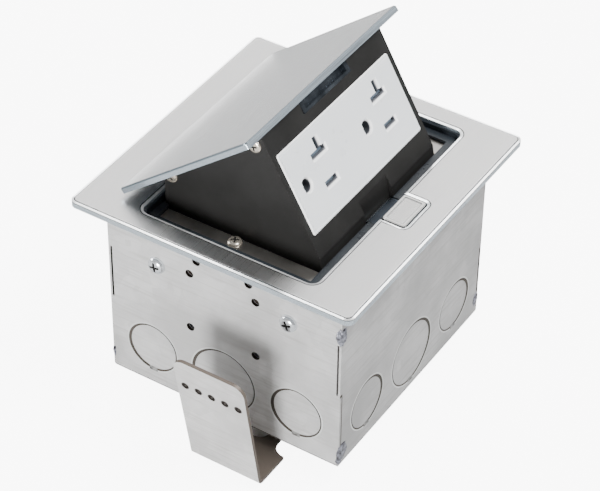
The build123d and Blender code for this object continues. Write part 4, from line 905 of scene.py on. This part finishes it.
def add_weld(name, place, size, seed):
    """A lumpy puddle of weld metal that sits half sunk in the sheet."""
    bm = bmesh.new()
    bmesh.ops.create_icosphere(bm, subdivisions=4, radius=1.0)
    for vert in bm.verts:
        lump = noise.noise(vert.co * 2.2 + Vector((seed, 0, 0))) * 0.22
        fine = noise.noise(vert.co * 7.0 + Vector((0, seed, 0))) * 0.12
        vert.co *= 1.0 + lump + fine
    bmesh.ops.scale(bm, verts=bm.verts, vec=[length * MM for length in size])
    bmesh.ops.translate(bm, verts=bm.verts, vec=[length * MM for length in place])
    add_piece(name, bm, [weld_grey], "base")


def ring_on_wall(bm, wall, across, radius, width, shift, lift):
    """A thin crescent ring flat on a box wall; its inner circle is moved by shift to make one side wide."""
    outer = bmesh.ops.create_circle(bm, segments=72, radius=radius * MM)["verts"]
    inner = bmesh.ops.create_circle(bm, segments=72, radius=(radius - width) * MM)["verts"]
    bmesh.ops.translate(bm, verts=inner, vec=(shift[0] * MM, shift[1] * MM, 0))
    loops = [edge for edge in bm.edges if edge.verts[0] in set(outer + inner) and not edge.link_faces]
    faces = bmesh.ops.bridge_loops(bm, edges=loops)["faces"]
    grown = bmesh.ops.extrude_face_region(bm, geom=faces)["geom"]
    raised = [item for item in grown if isinstance(item, bmesh.types.BMVert)]
    bmesh.ops.translate(bm, verts=raised, vec=(0, 0, lift * MM))
    bmesh.ops.transform(bm, matrix=wall_matrix(wall, across), verts=outer + inner + raised)


def wall_matrix(wall, across):
    """Turns a drawing in x (right) and y (up) onto one of the box's walls, at a place along it."""
    right, out, reach = wall
    right, out = Vector(right), Vector(out)
    turn = Matrix((right, Vector((0, 0, 1)), out)).transposed().to_4x4()
    origin = out * reach * MM + right * across * MM + Vector((0, 0, KNOCKOUT_Z * MM))
    return Matrix.Translation(origin) @ turn


# Each wall of the box: its direction to the right, its outward direction and how far out it lies
WALLS = (
    ((0, -1, 0), (-1, 0, 0), BOX_HALF_LENGTH),
    ((1, 0, 0), (0, -1, 0), BOX_HALF_WIDTH),
    ((0, 1, 0), (1, 0, 0), BOX_HALF_LENGTH),
    ((-1, 0, 0), (0, 1, 0), BOX_HALF_WIDTH),
)
# The ring of painted shade in each knockout's gap: its width, lift and the shift that widens one side, in mm
GAP_WIDTH = 0.78
GAP_LIFT = 0.03
END_GAP_SHIFT = (0.56, 0.38)
SIDE_GAP_SHIFT = (-0.66, 0.18)
# The ring of painted highlight on each knockout's lip, in mm
LIP_OUT = 0.62
LIP_WIDTH = 0.5
LIP_LIFT = 0.02
TIE_SIZE = (4.4, 2.8, 0.34)
TIE_TOP = (0.7, 0.5, 1)
TIE_IN = 0.3


def add_knockout_edges():
    """Painted shade in the sheared gap round each knockout, wide on one side, a painted highlight on the lip
    beside it, and the holding tie.
    """
    gap_shades = bmesh.new()
    lip_highlights = bmesh.new()
    ties = bmesh.new()
    for number, wall in enumerate(WALLS):
        shift = END_GAP_SHIFT if number % 2 == 0 else SIDE_GAP_SHIFT
        for across, radius in KNOCKOUTS:
            ring_on_wall(gap_shades, wall, across, radius, GAP_WIDTH, shift, GAP_LIFT)
            ring_on_wall(lip_highlights, wall, across, radius + LIP_OUT, LIP_WIDTH, (0, 0), LIP_LIFT)
            start = len(ties.verts)
            bmesh.ops.create_cube(ties, size=1.0)
            ties.verts.ensure_lookup_table()
            block = ties.verts[start:]
            bmesh.ops.scale(ties, verts=block, vec=[length * MM for length in TIE_SIZE])
            top_verts = [vert for vert in block if vert.co.z > 0]
            bmesh.ops.scale(ties, verts=top_verts, vec=TIE_TOP)
            bmesh.ops.translate(ties, verts=block, vec=(0, (TIE_IN - radius) * MM, 0))
            bmesh.ops.transform(ties, matrix=wall_matrix(wall, across), verts=block)
    for bm in (gap_shades, lip_highlights, ties):
        bmesh.ops.recalc_face_normals(bm, faces=bm.faces)
    bmesh.ops.bevel(
        ties,
        geom=list(ties.edges),
        offset=0.0001,
        segments=2,
        profile=0.5,
        affect="EDGES",
        material=-1,
    )
    add_piece("knockout_gap_shade", gap_shades, [gap_shade], "base")
    add_piece("knockout_lip_highlight", lip_highlights, [lip_highlight_zinc], "base")
    add_piece("knockout_ties", ties, [tie_zinc], "base")


def add_lap_lines():
    """A line of painted shade where the folded sheets lap, down each corner from the open slot to the low
    weld.
    """
    bm = bmesh.new()
    upright, top_notch = (-50.5, 0.5, 25.5, -59.0), (-51.2, 1.5, 1.2, -46.2)
    for wall in WALLS[1::2]:
        for place, width, height, centre in (upright, top_notch):
            start = len(bm.verts)
            bmesh.ops.create_cube(bm, size=1.0)
            bm.verts.ensure_lookup_table()
            strip = bm.verts[start:]
            bmesh.ops.scale(bm, verts=strip, vec=(width * MM, height * MM, 0.08 * MM))
            bmesh.ops.translate(bm, verts=strip, vec=(0, (centre - KNOCKOUT_Z) * MM, 0))
            bmesh.ops.transform(bm, matrix=wall_matrix(wall, place), verts=strip)
    bmesh.ops.bevel(
        bm, geom=list(bm.edges), offset=0.00003, segments=1, profile=0.5, affect="EDGES", material=-1
    )
    add_piece("corner_lap_shade", bm, [gap_shade], "base")


add_knockout_edges()
add_lap_lines()
for weld, weld_place, weld_size, weld_seed in (
    ("weld_front_left_top", (-50.6, -50.2, -17.4), (2.2, 1.7, 4.6), 1.0),
    ("weld_front_left_foot", (-51.2, -50.5, -79.2), (1.2, 1.0, 1.7), 7.0),
    ("weld_front_left_low", (-49.6, -50.9, -75.2), (3.4, 0.6, 4.2), 2.0),
    ("weld_front_right_low", (50.2, -50.6, -74.6), (2.2, 0.9, 3.6), 3.0),
    ("weld_back_left_low", (-50.2, 50.6, -74.6), (2.2, 0.9, 3.6), 4.0),
    ("weld_back_right_top", (51.0, 50.4, -17.2), (1.5, 1.3, 4.0), 5.0),
    ("weld_back_right_low", (49.6, 50.9, -75.2), (3.4, 0.6, 4.2), 6.0),
):
    add_weld(weld, weld_place, weld_size, weld_seed)


def lead_in(size, grown, shift, depth=SLOT_DEPTH):
    """A cutter for a sloping lead-in, twice as tall as it cuts: the slot's size below, wider above."""
    bm = bmesh.new()
    bmesh.ops.create_cube(bm, size=1.0)
    bmesh.ops.scale(bm, verts=bm.verts, vec=(size[0] * MM, size[1] * MM, 2 * depth * MM))
    mouth = [vert for vert in bm.verts if vert.co.z > 0]
    wider = ((size[0] + 4 * grown[0]) / size[0], (size[1] + 4 * grown[1]) / size[1], 1)
    bmesh.ops.scale(bm, verts=mouth, vec=wider)
    bmesh.ops.translate(bm, verts=mouth, vec=(2 * shift[0] * MM, 2 * shift[1] * MM, 0))
    return bm


def ground_lead_in(grown, radius=GROUND_RADIUS, flat=GROUND_FLAT, depth=GROUND_DEPTH):
    """The same for a ground hole, round on one side and flat on the other."""
    bm = bmesh.new()
    bmesh.ops.create_cone(
        bm,
        cap_ends=True,
        segments=48,
        radius1=radius * MM,
        radius2=(radius + 2 * grown) * MM,
        depth=2 * depth * MM,
    )
    cut = bmesh.ops.bisect_plane(
        bm,
        geom=list(bm.verts) + list(bm.edges) + list(bm.faces),
        plane_co=(-flat * MM, 0, 0),
        plane_no=(-1, 0, 0),
        clear_outer=True,
    )["geom_cut"]
    bmesh.ops.contextual_create(bm, geom=[item for item in cut if isinstance(item, bmesh.types.BMEdge)])
    return bm


def make_receptacle_face():
    """The white face with a soft sloping lead-in round each slot and ground hole."""
    bm = bmesh.new()
    bm.from_mesh(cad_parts["receptacle_face"].data)
    bmesh.ops.remove_doubles(bm, verts=bm.verts, dist=0.000002)
    blank = bare_object("receptacle_face_plain", bm)
    axes = Matrix(((1, 0, 0), FACE_UP, FACE_OUT)).transposed().to_4x4()
    front = Matrix.Translation(Vector(FACE_CENTRE) * MM) @ axes
    cutters = []
    for outlet in OUTLETS:
        shapes = [
            (lead_in((slot_long, SLOT_WIDE), (0.3, 0.45), (0.25, -0.45)), SLOT_SHIFT, slot_up)
            for slot_long, slot_up in ((T_SLOT_LONG, T_SLOT_UP), (PLAIN_SLOT_LONG, PLAIN_SLOT_UP))
        ]
        stroke = lead_in((STROKE_WIDE, STROKE_LONG), (0.45, 0.3), (0.45, -0.2))
        shapes.append((stroke, STROKE_X, T_SLOT_UP + STROKE_LONG / 2))
        shapes.append((ground_lead_in(0.85), GROUND_X, 0.0))
        for cut, across, up in shapes:
            seat = front @ Matrix.Translation(((outlet + across) * MM, up * MM, 0))
            bmesh.ops.transform(cut, matrix=seat, verts=cut.verts)
            bmesh.ops.recalc_face_normals(cut, faces=cut.faces)
            cutters.append(bare_object("face_cutter", cut))
    bm = bmesh.new()
    bm.from_mesh(cut_away(blank, cutters))
    piece = add_piece("receptacle_front", bm, [face_white], "popup", crease=1)
    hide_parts("receptacle_face")


make_receptacle_face()


# Studio

ROOM_LIGHT = 0.34
SEEN_WHITE = 8.7
FLOOR_GLOW = 8.0


def make_floor():
    """A plain pale floor that glows to the camera only, so it throws no light on the part."""
    low = cad_bounds[0].z
    bm = bmesh.new()
    bmesh.ops.create_grid(bm, x_segments=1, y_segments=1, size=4.0)
    bmesh.ops.translate(bm, verts=bm.verts, vec=(0, 0, low - 0.0002))
    mesh = bpy.data.meshes.new("studio_floor")
    bm.to_mesh(mesh)
    bm.free()
    floor = bpy.data.objects.new("studio_floor", mesh)
    bpy.context.scene.collection.objects.link(floor)
    material, tree, shader = new_material("floor_paper", roughness=0.9)
    shader.inputs["Base Color"].default_value = (0.42, 0.42, 0.42, 1)
    seen = add_node(tree, "LightPath")
    glow = colour_mix(tree, seen.outputs["Is Camera Ray"], (0, 0, 0, 1), (1, 1, 1, 1))
    tree.links.new(glow, shader.inputs["Emission Color"])
    shader.inputs["Emission Strength"].default_value = FLOOR_GLOW
    mesh.materials.append(material)


def add_softbox(name, place, target, size, power):
    """A white rectangular light aimed at a point."""
    light = bpy.data.lights.new(name, "AREA")
    light.shape = "RECTANGLE"
    light.size = size[0]
    light.size_y = size[1]
    light.energy = power
    lamp = bpy.data.objects.new(name, light)
    direction = Vector(place) - Vector(target)
    aim = direction.to_track_quat("Z", "Y").to_matrix().to_4x4()
    lamp.matrix_world = Matrix.Translation(place) @ aim
    bpy.context.scene.collection.objects.link(lamp)


def make_studio():
    """A white room, panels that the steel mirrors, and softboxes at the left, in front and far behind."""
    world = bpy.data.worlds.new("studio")
    world.use_nodes = True
    tree = world.node_tree
    room = tree.nodes["Background"]
    room.inputs["Color"].default_value = (1, 1, 1, 1)
    room.inputs["Strength"].default_value = ROOM_LIGHT
    sky = add_node(tree, "Background")
    sky.inputs["Strength"].default_value = SEEN_WHITE
    sky.inputs["Color"].default_value = (1, 1, 1, 1)
    seen = add_node(tree, "LightPath")
    chosen = add_node(tree, "MixShader")
    tree.links.new(seen.outputs["Is Camera Ray"], chosen.inputs[0])
    tree.links.new(room.outputs[0], chosen.inputs[1])
    tree.links.new(sky.outputs[0], chosen.inputs[2])
    tree.links.new(chosen.outputs[0], tree.nodes["World Output"].inputs[0])
    bpy.context.scene.world = world
    add_softbox("back_panel", (1.0, 0.62, 0.93), (0, 0, 0), (1.6, 1.6), 11.0)
    add_softbox("left_softbox", (-1.5, -0.2, 0.13), (0, 0, -0.05), (0.44, 0.44), 37.0)
    add_softbox("front_softbox", (0.08, -0.75, 1.3), (0, 0, 0), (0.6, 0.6), 44.0)
    add_softbox("side_edge_panel", (0.99, 0.14, 1.12), (0, 0, 0), (0.34, 0.34), 2.6)
    add_softbox("end_edge_panel", (0.45, 0.63, 1.29), (0, 0, 0), (0.34, 0.34), 2.6)
    add_softbox("low_panel", (1.2, 0.83, 0.44), (0, 0, 0), (1.1, 0.34), 6.0)
    add_softbox("far_softbox", (-0.35, 1.5, 0.5), (0, 0, -0.04), (0.8, 0.5), 18.0)


def make_camera():
    """The photograph's own view, solved from the object's straight edges."""
    place = Vector((-0.5809, -0.3657, 0.5487))
    azimuth, elevation, roll = radians(-57.84), radians(40.37), radians(0.783)
    back = Vector((sin(azimuth) * cos(elevation), -cos(azimuth) * cos(elevation), sin(elevation)))
    level = Vector((0, 0, 1)).cross(back).normalized()
    upright = back.cross(level)
    right = cos(roll) * level + sin(roll) * upright
    up = -sin(roll) * level + cos(roll) * upright
    camera = bpy.data.cameras.new("photo_camera")
    camera.sensor_fit = "HORIZONTAL"
    camera.sensor_width = 36.0
    camera.lens = 142.25
    camera.clip_start = 0.05
    holder = bpy.data.objects.new("photo_camera", camera)
    turn = Matrix((right, up, back)).transposed()
    holder.matrix_world = Matrix.Translation(place) @ turn.to_4x4()
    bpy.context.scene.collection.objects.link(holder)
    bpy.context.scene.camera = holder


make_floor()
make_studio()
make_camera()
